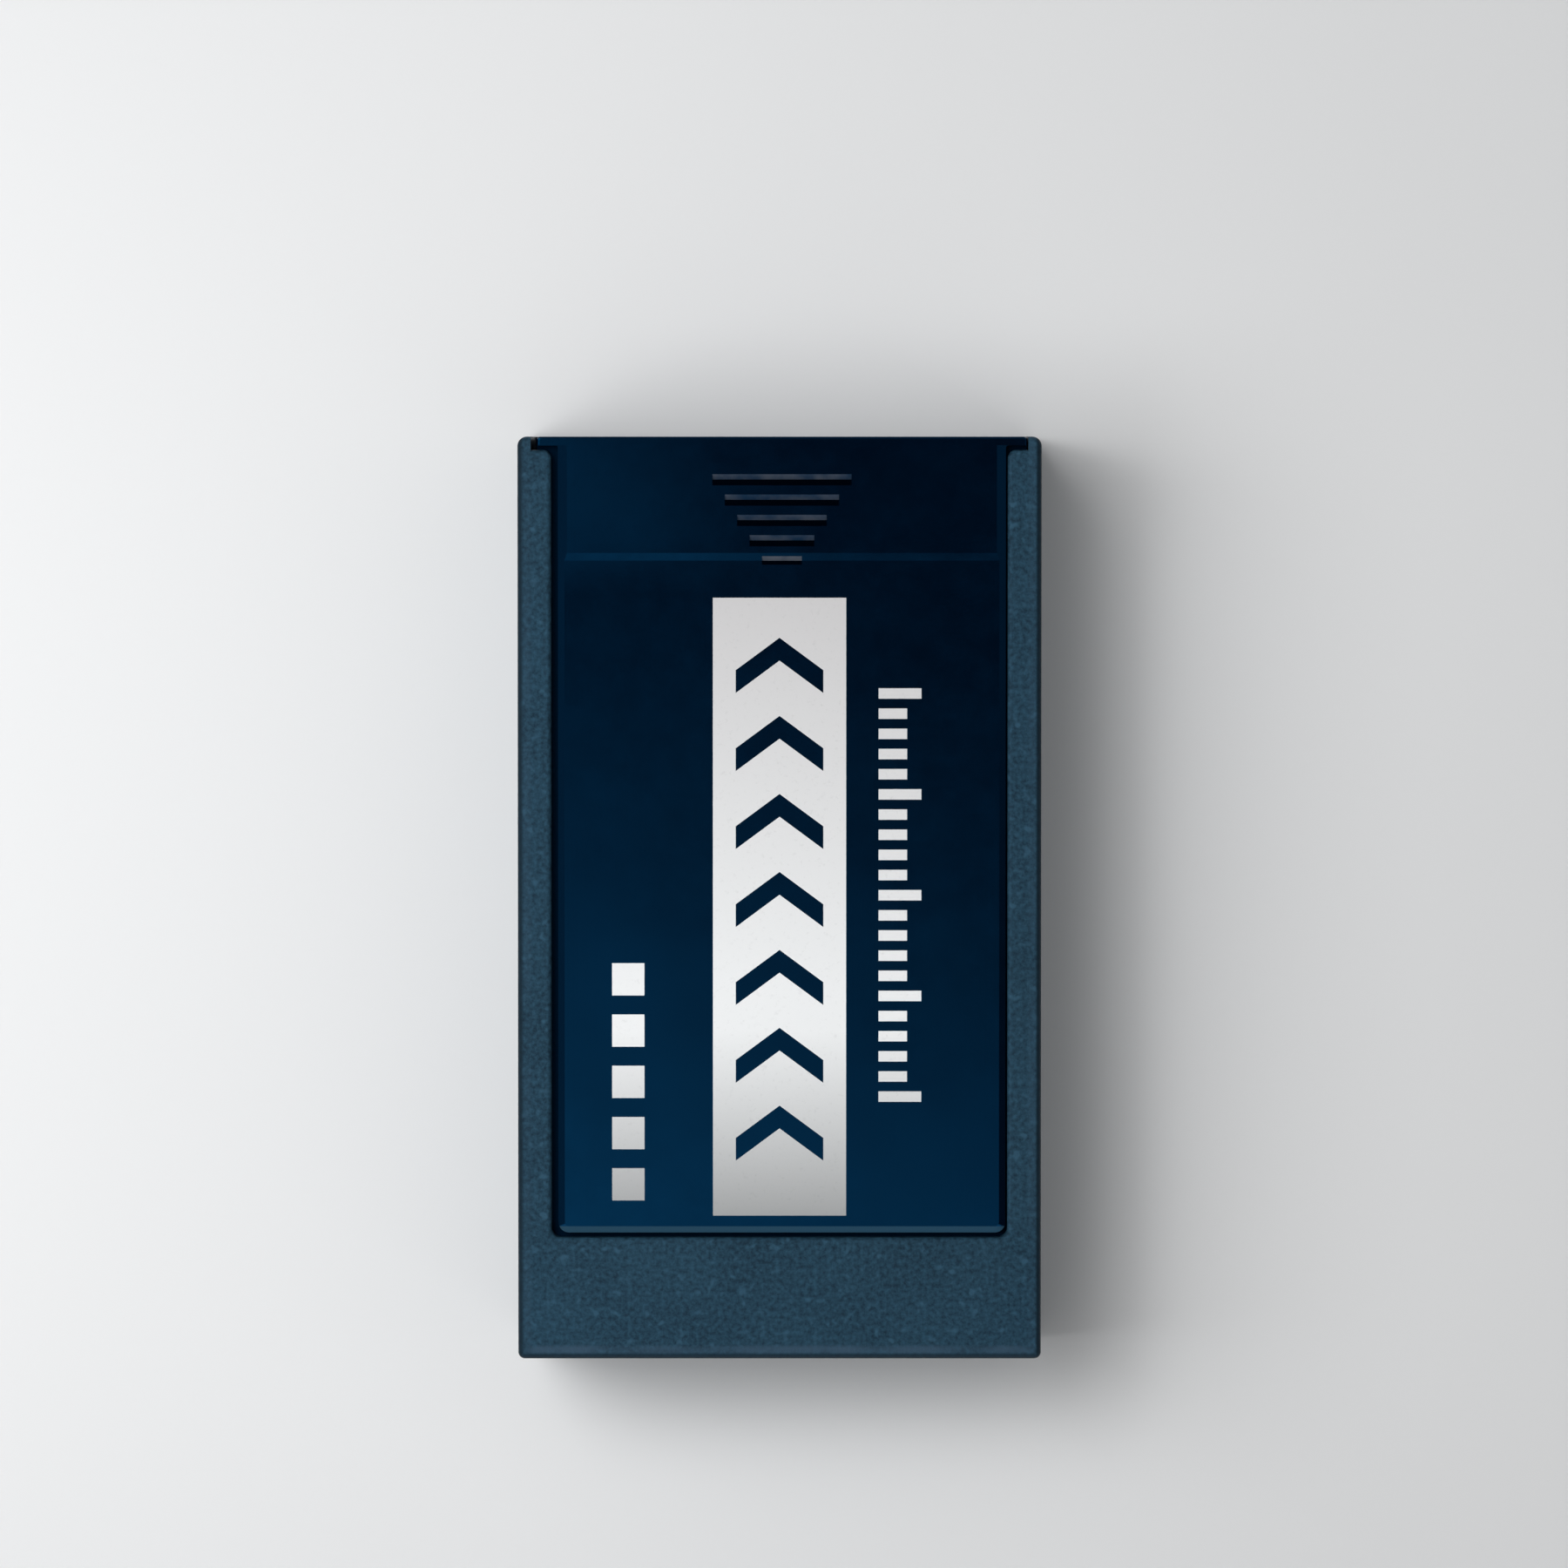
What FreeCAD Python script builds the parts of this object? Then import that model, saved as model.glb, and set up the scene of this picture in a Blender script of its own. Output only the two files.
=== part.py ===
"""Magnetic key holder box: a moulded box with a sliding lid and two ferrite magnets in its back.

Frame: the box lies on its magnets, with the lid facing up.
  +Z  out of the lid's face, with Z = 0 on the two magnet faces
  +Y  towards the open end, which is the way the lid slides out
  origin under the middle of the closed box
Units are millimetres. Every size is a cell of the sheet named Sizes.
"""

import FreeCAD, Part
import os
import Sketcher

# ---------------------------------------------------------------- driving dimensions

OVERALL_SIZES = {
    "body_width": 55.0,  # across the box, rail to rail
    "overall_length": 97.0,  # closed end to the outer face of the lid's end flange
    "overall_height": 22.0,  # magnet faces to the tops of the rails
    "magnet_proud": 0.3,  # how far the magnets stand out of the back
}
BOX_SIZES = {
    "side_wall": 1.4,  # also what shows of the wings beside the lid's flange
    "end_wall": 1.6,
    "floor_wall": 1.6,
    "rail_width": 3.55,  # what shows of each side rail beside the lid
    "rail_lip": 1.5,  # thickness of the rail's lip over the lid's tongue
    "ledge_wall": 1.4,  # the ledge that the lid's tongue slides on
    "deck_width": 12.8,  # the fixed deck over the closed end
    "corner_radius": 0.7,  # the two corners of the closed end
    "wing_round": 1.0,  # the two corners of the open end
    "edge_radius": 0.55,
    "window_corner": 1.0,
    "window_round": 0.45,  # along the window's rim and round the mouth of the box
    "rail_end_round": 0.9,
    "inside_radius": 0.8,
}
LID_SIZES = {
    "lid_sink": 0.1,  # lid face below the rail tops
    "lid_skin": 1.5,  # thickness of the hollowed lid's face
    "tongue_wall": 1.4,
    "play_below": 0.1,  # tongue to ledge
    "play_above": 0.25,  # tongue to lip
    "play_beside": 0.4,  # tongue to each groove's side
    "rest_shift": 0.25,  # the loose lid rests this far towards +X
    "panel_gap": 0.45,  # panel to each rail, before that shift
    "deck_gap": 0.5,  # panel to the deck's edge
    "tongue_reach": 1.8,  # tongue under the deck
    "flange_wall": 0.9,  # the end flange that shuts the mouth of the box
    "flange_gap": 0.5,  # flange to the ends of the rails
    "flange_lift": 0.25,  # flange above the box's floor
    "flange_corner": 0.35,
    "flange_edge": 0.25,
    "panel_corner": 1.1,
    "panel_bevel": 0.95,  # width of the bevel round the panel's rim, seen from above
    "bevel_drop": 0.34,  # height of that bevel
    "panel_root": 0.3,  # inside corner where the panel meets the flange
    "thumb_zone": 12.2,  # full-thickness end of the lid, under the thumb grip
    "thumb_step": 0.1,  # the rest of the face lies this much lower
    "step_run": 0.8,  # length of the gentle slope down to it
    "border_wall": 1.5,  # edge left round the hollow underside
    "rib_wall": 1.0,
    "rib_spacing": 15.0,
}
GRIP_SIZES = {
    "grip_start": 3.95,  # flange face to the first notch's wall
    "grip_pitch": 2.13,
    "grip_width": 14.6,  # the first notch, which is the widest
    "grip_shrink": 2.6,  # each notch is this much narrower than the one before
    "grip_depth": 0.32,
    "grip_wall": 0.55,  # length of the bevelled wall that the thumb pushes
    "grip_ramp": 0.62,  # length of the slope down to it
}
DETENT_SIZES = {
    "detent_inset": 7.0,  # ends of the rails to the bumps
    "bump_radius": 0.7,
    "bump_height": 0.2,
    "bump_margin": 0.3,  # bump to the rail's edge and to the tongue's edge
    "dimple_play": 0.25,
}
MAGNET_SIZES = {
    "magnet_length": 48.0,
    "magnet_width": 22.0,
    "magnet_thick": 5.0,
    "magnet_chamfer": 0.5,
    "magnet_inset": 3.4,  # each end of the box to the magnet nearest it
    "magnet_play": 0.35,  # magnet to its pocket's walls
    "pocket_wall": 1.5,
    "crush_rib": 1.2,
    "crush_gap": 0.05,  # magnet to the crush ribs
    "crush_spacing": 16.0,
    "crush_lead": 0.5,  # the ribs start this far above the back
    "glue_film": 0.3,
    "glue_margin": 2.0,
    "glue_corner": 2.5,
}
GRIP_NOTCHES = 5
CRUSH_RIBS = 3
LID_BAYS = 3

# ---------------------------------------------------------------- places, as expressions on the sheet

HALF_WIDTH = "Sizes.body_width / 2"
CLOSED_END = "-Sizes.overall_length / 2"
FLANGE_FACE = "Sizes.overall_length / 2"
FLANGE_BACK = f"{FLANGE_FACE} - Sizes.flange_wall"
OPEN_END = f"{FLANGE_BACK} - Sizes.flange_gap"
BACK_FACE = "Sizes.magnet_proud"
FLOOR_TOP = f"{BACK_FACE} + Sizes.floor_wall"
RAIL_TOP = "Sizes.overall_height"
LIP_UNDER = f"{RAIL_TOP} - Sizes.rail_lip"
TONGUE_TOP = f"{LIP_UNDER} - Sizes.play_above"
TONGUE_UNDER = f"{TONGUE_TOP} - Sizes.tongue_wall"
LEDGE_TOP = f"{TONGUE_UNDER} - Sizes.play_below"
LEDGE_UNDER = f"{LEDGE_TOP} - Sizes.ledge_wall"
LID_FACE = f"{RAIL_TOP} - Sizes.lid_sink"
INSIDE_HALF = f"{HALF_WIDTH} - Sizes.side_wall"
WINDOW_HALF = f"{HALF_WIDTH} - Sizes.rail_width"
END_INSIDE = f"{CLOSED_END} + Sizes.end_wall"
DECK_EDGE = f"{CLOSED_END} + Sizes.deck_width"
TONGUE_HALF = f"{INSIDE_HALF} - Sizes.play_beside"
TONGUE_TIP = f"{DECK_EDGE} - Sizes.tongue_reach"
PANEL_HALF = f"{WINDOW_HALF} - Sizes.panel_gap"
PANEL_FRONT = f"{DECK_EDGE} + Sizes.deck_gap"
FLANGE_HALF = TONGUE_HALF
THUMB_STEP = f"{FLANGE_FACE} - Sizes.thumb_zone"
HOLLOW_HALF = f"{PANEL_HALF} - Sizes.border_wall"
DETENT = f"{OPEN_END} - Sizes.detent_inset"
DETENT_AXIS = f"{TONGUE_TOP} + Sizes.bump_height - Sizes.bump_radius"
GLUE_TOP = "Sizes.magnet_thick + Sizes.glue_film"
ROOF_TOP = f"{GLUE_TOP} + Sizes.pocket_wall"
LOWER_MAGNET = f"{CLOSED_END} + Sizes.magnet_inset + Sizes.magnet_width / 2"
UPPER_MAGNET = f"{OPEN_END} - Sizes.magnet_inset - Sizes.magnet_width / 2"
POCKET_HALF_X = "Sizes.magnet_length / 2 + Sizes.magnet_play"
POCKET_HALF_Y = "Sizes.magnet_width / 2 + Sizes.magnet_play"

OVERSHOOT = 2.0  # how far a cut runs past the faces that it opens
TOUCH = 1e-4  # tolerance for comparing places

doc = FreeCAD.newDocument("key_holder_box")
sheet = doc.addObject("Spreadsheet::Sheet", "Sizes")


def fill_sheet():
    """One row a size: its name in column A, its number in column B under an alias."""
    row = 1
    for group in (OVERALL_SIZES, BOX_SIZES, LID_SIZES, GRIP_SIZES, DETENT_SIZES, MAGNET_SIZES):
        for name, number in group.items():
            sheet.set(f"A{row}", name)
            sheet.set(f"B{row}", str(number))
            sheet.setAlias(f"B{row}", name)
            row += 1
    doc.recompute()


def value(expression):
    """The number that an expression on the sheet comes to."""
    return float(sheet.evalExpression(expression))


# ---------------------------------------------------------------- sketches


def new_body(name):
    body = doc.addObject("PartDesign::Body", name)
    body.Label = name
    return body


def new_sketch(body, name, role, offset=None):
    """A sketch on one of the body's own planes, moved along the plane's normal by an expression."""
    sketch = body.newObject("Sketcher::SketchObject", name)
    origin_plane = [f for f in body.Origin.OriginFeatures if f.Role == role][0]
    sketch.AttachmentSupport = [(origin_plane, "")]
    sketch.MapMode = "FlatFace"
    if offset is not None:
        sketch.setExpression("AttachmentOffset.Base.z", offset)
    return sketch


def pin_point(sketch, line, end, label, across, up):
    """Ties one end of a line to the sketch's origin with two named, signed distances."""
    for kind, axis, place in (("DistanceX", "x", across), ("DistanceY", "y", up)):
        index = sketch.addConstraint(Sketcher.Constraint(kind, -1, 1, line, end, 1.0))
        sketch.renameConstraint(index, f"{label}_{axis}")
        sketch.setExpression(f"Constraints.{label}_{axis}", place)


def rectangle(sketch, left, right, low, high, label="box"):
    """A rectangle whose four sides are expressions."""
    corners = [FreeCAD.Vector(x, y, 0) for x, y in ((0, 0), (9, 0), (9, 9), (0, 9))]
    first = sketch.GeometryCount
    for k in range(4):
        sketch.addGeometry(Part.LineSegment(corners[k], corners[(k + 1) % 4]), False)
    for k in range(4):
        following = first + (k + 1) % 4
        sketch.addConstraint(Sketcher.Constraint("Coincident", first + k, 2, following, 1))
    for k, direction in enumerate(("Horizontal", "Vertical", "Horizontal", "Vertical")):
        sketch.addConstraint(Sketcher.Constraint(direction, first + k))
    pin_point(sketch, first, 1, f"{label}_low", left, low)
    pin_point(sketch, first + 1, 2, f"{label}_high", right, high)


def polygon(sketch, points):
    """A closed outline whose corners are pairs of expressions."""
    count = len(points)
    loose = [FreeCAD.Vector(k, k * k, 0) for k in range(count)]
    for k in range(count):
        sketch.addGeometry(Part.LineSegment(loose[k], loose[(k + 1) % count]), False)
    for k in range(count):
        sketch.addConstraint(Sketcher.Constraint("Coincident", k, 2, (k + 1) % count, 1))
    for k, (across, up) in enumerate(points):
        pin_point(sketch, k, 1, f"point_{k}", across, up)


def circle(sketch, across, up, radius):
    upright = FreeCAD.Vector(0, 0, 1)
    sketch.addGeometry(Part.Circle(FreeCAD.Vector(1, 1, 0), upright, 1.0), False)
    pin_point(sketch, 0, 3, "centre", across, up)
    index = sketch.addConstraint(Sketcher.Constraint("Radius", 0, 1.0))
    sketch.renameConstraint(index, "radius")
    sketch.setExpression("Constraints.radius", radius)


# ---------------------------------------------------------------- features


def set_extent(feature, sketch, length, midplane, reverse):
    feature.Profile = sketch
    feature.SideType = "Symmetric" if midplane else "One side"
    feature.Reversed = reverse
    feature.setExpression("Length", length)
    doc.recompute()
    return feature


def pad(body, sketch, name, length, midplane=False, reverse=False):
    return set_extent(
        body.newObject("PartDesign::Pad", name), sketch, length, midplane, reverse
    )


def pocket(body, sketch, name, length, midplane=False, reverse=False):
    """A cut that has to take material away: one that points into the air stops the build."""
    before = body.Shape.Volume
    feature = body.newObject("PartDesign::Pocket", name)
    set_extent(feature, sketch, length, midplane, reverse)
    if body.Shape.Volume > before - TOUCH:
        raise RuntimeError(f"{name} cuts nothing")
    return feature


def near(place, target):
    return abs(place - target) < TOUCH


def is_level(edge, height):
    """True for an edge that lies at one height."""
    return near(edge.BoundBox.ZMin, height) and near(edge.BoundBox.ZMax, height)


def is_upright(edge, half_width, y):
    """True for an edge parallel to Z, this far from the middle plane and at this y."""
    box = edge.BoundBox
    return (
        box.XLength < TOUCH
        and box.YLength < TOUCH
        and near(abs(box.XMin), value(half_width))
        and near(box.YMin, value(y))
    )


def is_front_rim(edge, z, y):
    """Whether an edge runs straight across the part at that height and place."""
    return is_level(edge, z) and near(edge.BoundBox.YMin, y) and edge.BoundBox.YLength < TOUCH


def dress_edges(body, kind, name, amount, wanted, second=None):
    """A fillet or chamfer on the edges of the body so far that pass the test.

    A second amount makes a chamfer uneven: it is the share of the bevel on the other face.
    """
    base = body.Tip
    found = [f"Edge{k + 1}" for k, edge in enumerate(base.Shape.Edges) if wanted(edge)]
    if not found:
        raise RuntimeError(f"{name} found no edge")
    feature = body.newObject(f"PartDesign::{kind}", name)
    feature.Base = (base, found)
    feature.setExpression("Radius" if kind == "Fillet" else "Size", amount)
    if second is not None:
        feature.ChamferType = "Two distances"
        feature.setExpression("Size2", second)
    doc.recompute()
    return feature


# ---------------------------------------------------------------- the box


def box_blank(body):
    """The outside of the box: a block with its upright corners and its level edges rounded."""
    sketch = new_sketch(body, "box_outline", "XY_Plane", BACK_FACE)
    rectangle(sketch, f"-({HALF_WIDTH})", HALF_WIDTH, CLOSED_END, FLANGE_FACE)
    pad(body, sketch, "box_blank", f"{RAIL_TOP} - {BACK_FACE}")
    for name, radius, y in (
        ("box_corners", "Sizes.corner_radius", CLOSED_END),
        ("wing_corners", "Sizes.wing_round", FLANGE_FACE),
    ):
        dress_edges(body, "Fillet", name, radius, lambda e, y=y: is_upright(e, HALF_WIDTH, y))
    back, top = value(BACK_FACE), value(RAIL_TOP)
    dress_edges(
        body, "Fillet", "box_edges", "Sizes.edge_radius", lambda e: is_level(e, back) or is_level(e, top)
    )


def box_mouth(body):
    """Cuts the mouth back between the side walls and over the floor, which all frame the lid's flange."""
    sketch = new_sketch(body, "mouth_outline", "XY_Plane", FLOOR_TOP)
    rectangle(
        sketch, f"-({INSIDE_HALF})", INSIDE_HALF, OPEN_END, f"{FLANGE_FACE} + {OVERSHOOT}"
    )
    pocket(body, sketch, "mouth", f"{RAIL_TOP} + {OVERSHOOT}", reverse=True)


def box_inside(body):
    """The key space, the throat between the ledges, the lid's grooves and the window over them.

    All four run to the open end, where the one core that moulds them is drawn out.
    """
    cuts = (
        ("key_space", INSIDE_HALF, FLOOR_TOP, LEDGE_UNDER, END_INSIDE),
        ("throat", WINDOW_HALF, LEDGE_UNDER, LEDGE_TOP, END_INSIDE),
        ("lid_grooves", INSIDE_HALF, LEDGE_TOP, LIP_UNDER, END_INSIDE),
        ("lid_window", WINDOW_HALF, LIP_UNDER, f"{RAIL_TOP} + {OVERSHOOT}", DECK_EDGE),
    )
    for name, half_width, low, high, inner_end in cuts:
        sketch = new_sketch(body, f"{name}_outline", "XZ_Plane", f"-({OPEN_END}) - {OVERSHOOT}")
        rectangle(sketch, f"-({half_width})", half_width, low, high)
        length = f"{OPEN_END} + {OVERSHOOT} - ({inner_end})"
        pocket(body, sketch, name, length, reverse=True)


def window_edges(body):
    """Rounds the window's inner corners, the ends of the rails and ledges, and the window's rim."""
    dress_edges(
        body,
        "Fillet",
        "window_corners",
        "Sizes.window_corner",
        lambda e: is_upright(e, WINDOW_HALF, DECK_EDGE),
    )
    dress_edges(
        body,
        "Fillet",
        "rail_ends",
        "Sizes.rail_end_round",
        lambda e: is_upright(e, WINDOW_HALF, OPEN_END),
    )
    top, half, deck = value(RAIL_TOP), value(WINDOW_HALF), value(DECK_EDGE)
    dress_edges(
        body,
        "Fillet",
        "window_rim",
        "Sizes.window_round",
        lambda e: is_level(e, top)
        and abs(e.BoundBox.Center.x) < half + TOUCH
        and e.BoundBox.YMin > deck - TOUCH,
    )


def magnet_platforms(body):
    """A raised platform at each end of the floor, which roofs a magnet pocket."""
    reach_x = f"{HALF_WIDTH} - Sizes.side_wall / 2"
    reach_y = f"{POCKET_HALF_Y} + Sizes.pocket_wall"
    spans = (
        ("lower", f"{CLOSED_END} + Sizes.end_wall / 2", f"{LOWER_MAGNET} + {reach_y}"),
        ("upper", f"{UPPER_MAGNET} - ({reach_y})", f"{OPEN_END} - Sizes.window_round"),
    )
    for name, low, high in spans:
        sketch = new_sketch(body, f"{name}_platform_outline", "XY_Plane", f"{BACK_FACE} * 2")
        rectangle(sketch, f"-({reach_x})", reach_x, low, high)
        pad(body, sketch, f"{name}_platform", f"{ROOF_TOP} - {BACK_FACE} * 2")


def platform_edges(body):
    """Rounds the top and the foot of the step from each platform down to the well between them."""
    heights = (value(FLOOR_TOP), value(ROOF_TOP))
    reach_y = f"{POCKET_HALF_Y} + Sizes.pocket_wall"
    places = (value(f"{LOWER_MAGNET} + {reach_y}"), value(f"{UPPER_MAGNET} - ({reach_y})"))
    dress_edges(
        body,
        "Fillet",
        "platform_steps",
        "Sizes.inside_radius",
        lambda e: any(is_level(e, height) for height in heights)
        and any(near(e.BoundBox.YMin, y) and near(e.BoundBox.YMax, y) for y in places),
    )


def magnet_pockets(body):
    """The two pockets in the back, each with crush ribs along its long walls."""
    rib_face = "Sizes.magnet_width / 2 + Sizes.crush_gap"
    rib_root = f"{POCKET_HALF_Y} + Sizes.pocket_wall / 3"
    for name, centre in (("lower", LOWER_MAGNET), ("upper", UPPER_MAGNET)):
        sketch = new_sketch(body, f"{name}_pocket_outline", "XY_Plane")
        low = f"{centre} - ({POCKET_HALF_Y})"
        high = f"{centre} + {POCKET_HALF_Y}"
        rectangle(sketch, f"-({POCKET_HALF_X})", POCKET_HALF_X, low, high)
        pocket(body, sketch, f"{name}_pocket", GLUE_TOP, reverse=True)
        start = f"{BACK_FACE} + Sizes.crush_lead"
        ribs = new_sketch(body, f"{name}_crush_rib_outline", "XY_Plane", start)
        for k in range(CRUSH_RIBS):
            place = f"{k - (CRUSH_RIBS - 1) / 2} * Sizes.crush_spacing"
            left = f"{place} - Sizes.crush_rib / 2"
            right = f"{place} + Sizes.crush_rib / 2"
            near_span = (f"{centre} - ({rib_root})", f"{centre} - ({rib_face})")
            far_span = (f"{centre} + {rib_face}", f"{centre} + {rib_root}")
            rectangle(ribs, left, right, *near_span, f"near_{k}")
            rectangle(ribs, left, right, *far_span, f"far_{k}")
        pad(body, ribs, f"{name}_crush_ribs", f"{GLUE_TOP} + Sizes.pocket_wall / 3 - ({start})")


def detent_dimples(body):
    """A half-round dimple under each lip, where the closed lid's bumps sit."""
    sketch = new_sketch(body, "detent_dimple_outline", "YZ_Plane")
    circle(sketch, DETENT, DETENT_AXIS, "Sizes.bump_radius + Sizes.dimple_play")
    pocket(body, sketch, "detent_dimples", f"2 * ({INSIDE_HALF})", midplane=True)


def build_box():
    body = new_body("box_body")
    box_blank(body)
    box_mouth(body)
    box_inside(body)
    window_edges(body)
    magnet_platforms(body)
    platform_edges(body)
    magnet_pockets(body)
    detent_dimples(body)
    return body


# ---------------------------------------------------------------- the lid


def lid_plate(body, name, half_width, front, low, high):
    """One plate of the lid, from its front edge to the outer face of the end flange."""
    sketch = new_sketch(body, f"{name}_outline", "XY_Plane", low)
    rectangle(sketch, f"-({half_width})", half_width, front, FLANGE_FACE)
    pad(body, sketch, name, f"{high} - ({low})")


def sliding_plates(body):
    """The tongue plate that runs in the grooves, and the raised panel on it with a bevelled rim."""
    lid_plate(body, "tongue", TONGUE_HALF, TONGUE_TIP, TONGUE_UNDER, TONGUE_TOP)
    lid_plate(body, "panel", PANEL_HALF, PANEL_FRONT, TONGUE_UNDER, LID_FACE)
    dress_edges(
        body,
        "Fillet",
        "panel_corners",
        "Sizes.panel_corner",
        lambda e: is_upright(e, PANEL_HALF, PANEL_FRONT),
    )
    face, front = value(LID_FACE), value(PANEL_FRONT)
    bevel = "min(Sizes.panel_bevel; Sizes.panel_corner * 0.9)"
    rim = dress_edges(
        body,
        "Chamfer",
        "panel_rim",
        bevel,
        lambda e: is_front_rim(e, face, front),
        second="Sizes.bevel_drop",
    )
    inner_rim = front + value(bevel)
    if not any(is_front_rim(e, face, inner_rim) for e in rim.Shape.Edges):
        rim.FlipDirection = True  # the two amounts had landed on each other's faces
        doc.recompute()


def end_flange(body):
    """The flange that shuts the mouth of the box. The panel's bevel stops against it."""
    flange_under = f"{FLOOR_TOP} + Sizes.flange_lift"
    lid_plate(body, "flange", FLANGE_HALF, FLANGE_BACK, flange_under, LID_FACE)
    for name, radius, half_width, y in (
        ("flange_corners", "min(Sizes.flange_corner; Sizes.flange_wall - 0.1)", FLANGE_HALF, FLANGE_FACE),
        ("panel_roots", "min(Sizes.panel_root; Sizes.bevel_drop * 0.9)", PANEL_HALF, FLANGE_BACK),
    ):
        dress_edges(
            body, "Fillet", name, radius, lambda e, x=half_width, y=y: is_upright(e, x, y)
        )
    face, rear, under = value(LID_FACE), value(FLANGE_FACE), value(flange_under)
    dress_edges(
        body,
        "Fillet",
        "flange_edges",
        "Sizes.flange_edge",
        lambda e: near(e.BoundBox.YMax, rear) and (is_level(e, face) or is_level(e, under)),
    )


def lid_hollow(body):
    """Hollows the underside up to the thumb zone, and leaves stiffening ribs along it."""
    sketch = new_sketch(body, "hollow_outline", "XY_Plane", f"{TONGUE_UNDER} - {OVERSHOOT}")
    start = f"{PANEL_FRONT} + Sizes.border_wall"
    for k in range(LID_BAYS):
        left = f"{k - LID_BAYS / 2} * Sizes.rib_spacing + Sizes.rib_wall / 2"
        right = f"{k + 1 - LID_BAYS / 2} * Sizes.rib_spacing - Sizes.rib_wall / 2"
        if k == 0:
            left = f"-({HOLLOW_HALF})"
        if k == LID_BAYS - 1:
            right = HOLLOW_HALF
        rectangle(sketch, left, right, start, THUMB_STEP, f"bay_{k}")
    depth = f"{LID_FACE} - Sizes.lid_skin - ({TONGUE_UNDER}) + {OVERSHOOT}"
    pocket(body, sketch, "hollow", depth, reverse=True)


def lid_step(body):
    """Drops the face by a hair in front of the thumb zone, with a sloped edge."""
    sketch = new_sketch(body, "step_outline", "YZ_Plane")
    low = f"{LID_FACE} - Sizes.thumb_step"
    high = f"{LID_FACE} + {OVERSHOOT}"
    ahead = f"{PANEL_FRONT} - {OVERSHOOT}"
    foot = f"{THUMB_STEP} - Sizes.step_run"
    polygon(sketch, ((ahead, low), (foot, low), (THUMB_STEP, LID_FACE), (THUMB_STEP, high), (ahead, high)))
    pocket(body, sketch, "face_step", "Sizes.body_width", midplane=True)


def thumb_grip(body):
    """Saw-tooth notches, each a ramp down to a short wall for the thumb to push on."""
    floor = f"{LID_FACE} - Sizes.grip_depth"
    above = f"{LID_FACE} + Sizes.grip_depth"
    for k in range(GRIP_NOTCHES):
        wall = f"{FLANGE_FACE} - Sizes.grip_start - {k} * Sizes.grip_pitch"
        root = f"{wall} - Sizes.grip_wall"
        tail = f"{root} - Sizes.grip_ramp"
        sketch = new_sketch(body, f"grip_{k}_outline", "YZ_Plane")
        polygon(sketch, ((tail, LID_FACE), (root, floor), (wall, LID_FACE), (wall, above), (tail, above)))
        width = f"Sizes.grip_width - {k} * Sizes.grip_shrink"
        pocket(body, sketch, f"grip_{k}", width, midplane=True)


def detent_bumps(body):
    """A low half-round bump on each tongue, which clicks into the box's dimples."""
    inner = f"{WINDOW_HALF} + Sizes.bump_margin"
    sketch = new_sketch(body, "detent_bump_outline", "YZ_Plane", inner)
    circle(sketch, DETENT, DETENT_AXIS, "Sizes.bump_radius")
    bump = pad(body, sketch, "detent_bump", f"{TONGUE_HALF} - Sizes.bump_margin - ({inner})")
    mirrored = body.newObject("PartDesign::Mirrored", "detent_bumps")
    mirrored.Originals = [bump]
    side_plane = [f for f in body.Origin.OriginFeatures if f.Role == "YZ_Plane"][0]
    mirrored.MirrorPlane = (side_plane, [""])
    body.Tip = mirrored
    doc.recompute()


def build_lid():
    body = new_body("sliding_lid")
    sliding_plates(body)
    end_flange(body)
    lid_hollow(body)
    lid_step(body)
    thumb_grip(body)
    detent_bumps(body)
    body.setExpression("Placement.Base.x", "Sizes.rest_shift")
    return body


# ---------------------------------------------------------------- the magnets and their glue


def build_magnet(name, centre):
    """A sintered ferrite block with ground faces and chamfered edges."""
    body = new_body(name)
    sketch = new_sketch(body, f"{name}_outline", "XY_Plane")
    half_x = "Sizes.magnet_length / 2"
    half_y = "Sizes.magnet_width / 2"
    rectangle(sketch, f"-{half_x}", half_x, f"-{half_y}", half_y)
    pad(body, sketch, f"{name}_block", "Sizes.magnet_thick")
    dress_edges(body, "Chamfer", f"{name}_edges", "Sizes.magnet_chamfer", lambda e: True)
    body.setExpression("Placement.Base.y", centre)
    return body


def build_glue(name, centre):
    """The film of adhesive between a magnet and the roof of its pocket."""
    body = new_body(name)
    sketch = new_sketch(body, f"{name}_outline", "XY_Plane", "Sizes.magnet_thick")
    half_x = "Sizes.magnet_length / 2 - Sizes.glue_margin"
    half_y = "Sizes.magnet_width / 2 - Sizes.glue_margin"
    rectangle(sketch, f"-({half_x})", half_x, f"-({half_y})", half_y)
    pad(body, sketch, f"{name}_film", "Sizes.glue_film")
    dress_edges(
        body,
        "Fillet",
        f"{name}_corners",
        "Sizes.glue_corner",
        lambda e: e.BoundBox.XLength < TOUCH and e.BoundBox.YLength < TOUCH,
    )
    body.setExpression("Placement.Base.y", centre)
    return body


# ---------------------------------------------------------------- build, check and write


def check(bodies):
    doc.recompute()
    for item in doc.Objects:
        if any(word in ("Invalid", "Error") for word in item.State):
            raise RuntimeError(f"{item.Label} failed: {item.State}")
    for body in bodies:
        if body.Shape.isNull() or not body.Shape.isValid() or len(body.Shape.Solids) != 1:
            raise RuntimeError(f"{body.Label} isn't one valid solid")


def write(bodies):
    os.makedirs("parts", exist_ok=True)
    for body in bodies:
        body.Shape.exportStep(f"parts/{body.Label}.step")
        box = body.Shape.BoundBox
        print(
            f"{body.Label}: {body.Shape.Volume:.1f} mm3,"
            f" x {box.XMin:.2f} to {box.XMax:.2f},"
            f" y {box.YMin:.2f} to {box.YMax:.2f},"
            f" z {box.ZMin:.2f} to {box.ZMax:.2f}"
        )


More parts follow.
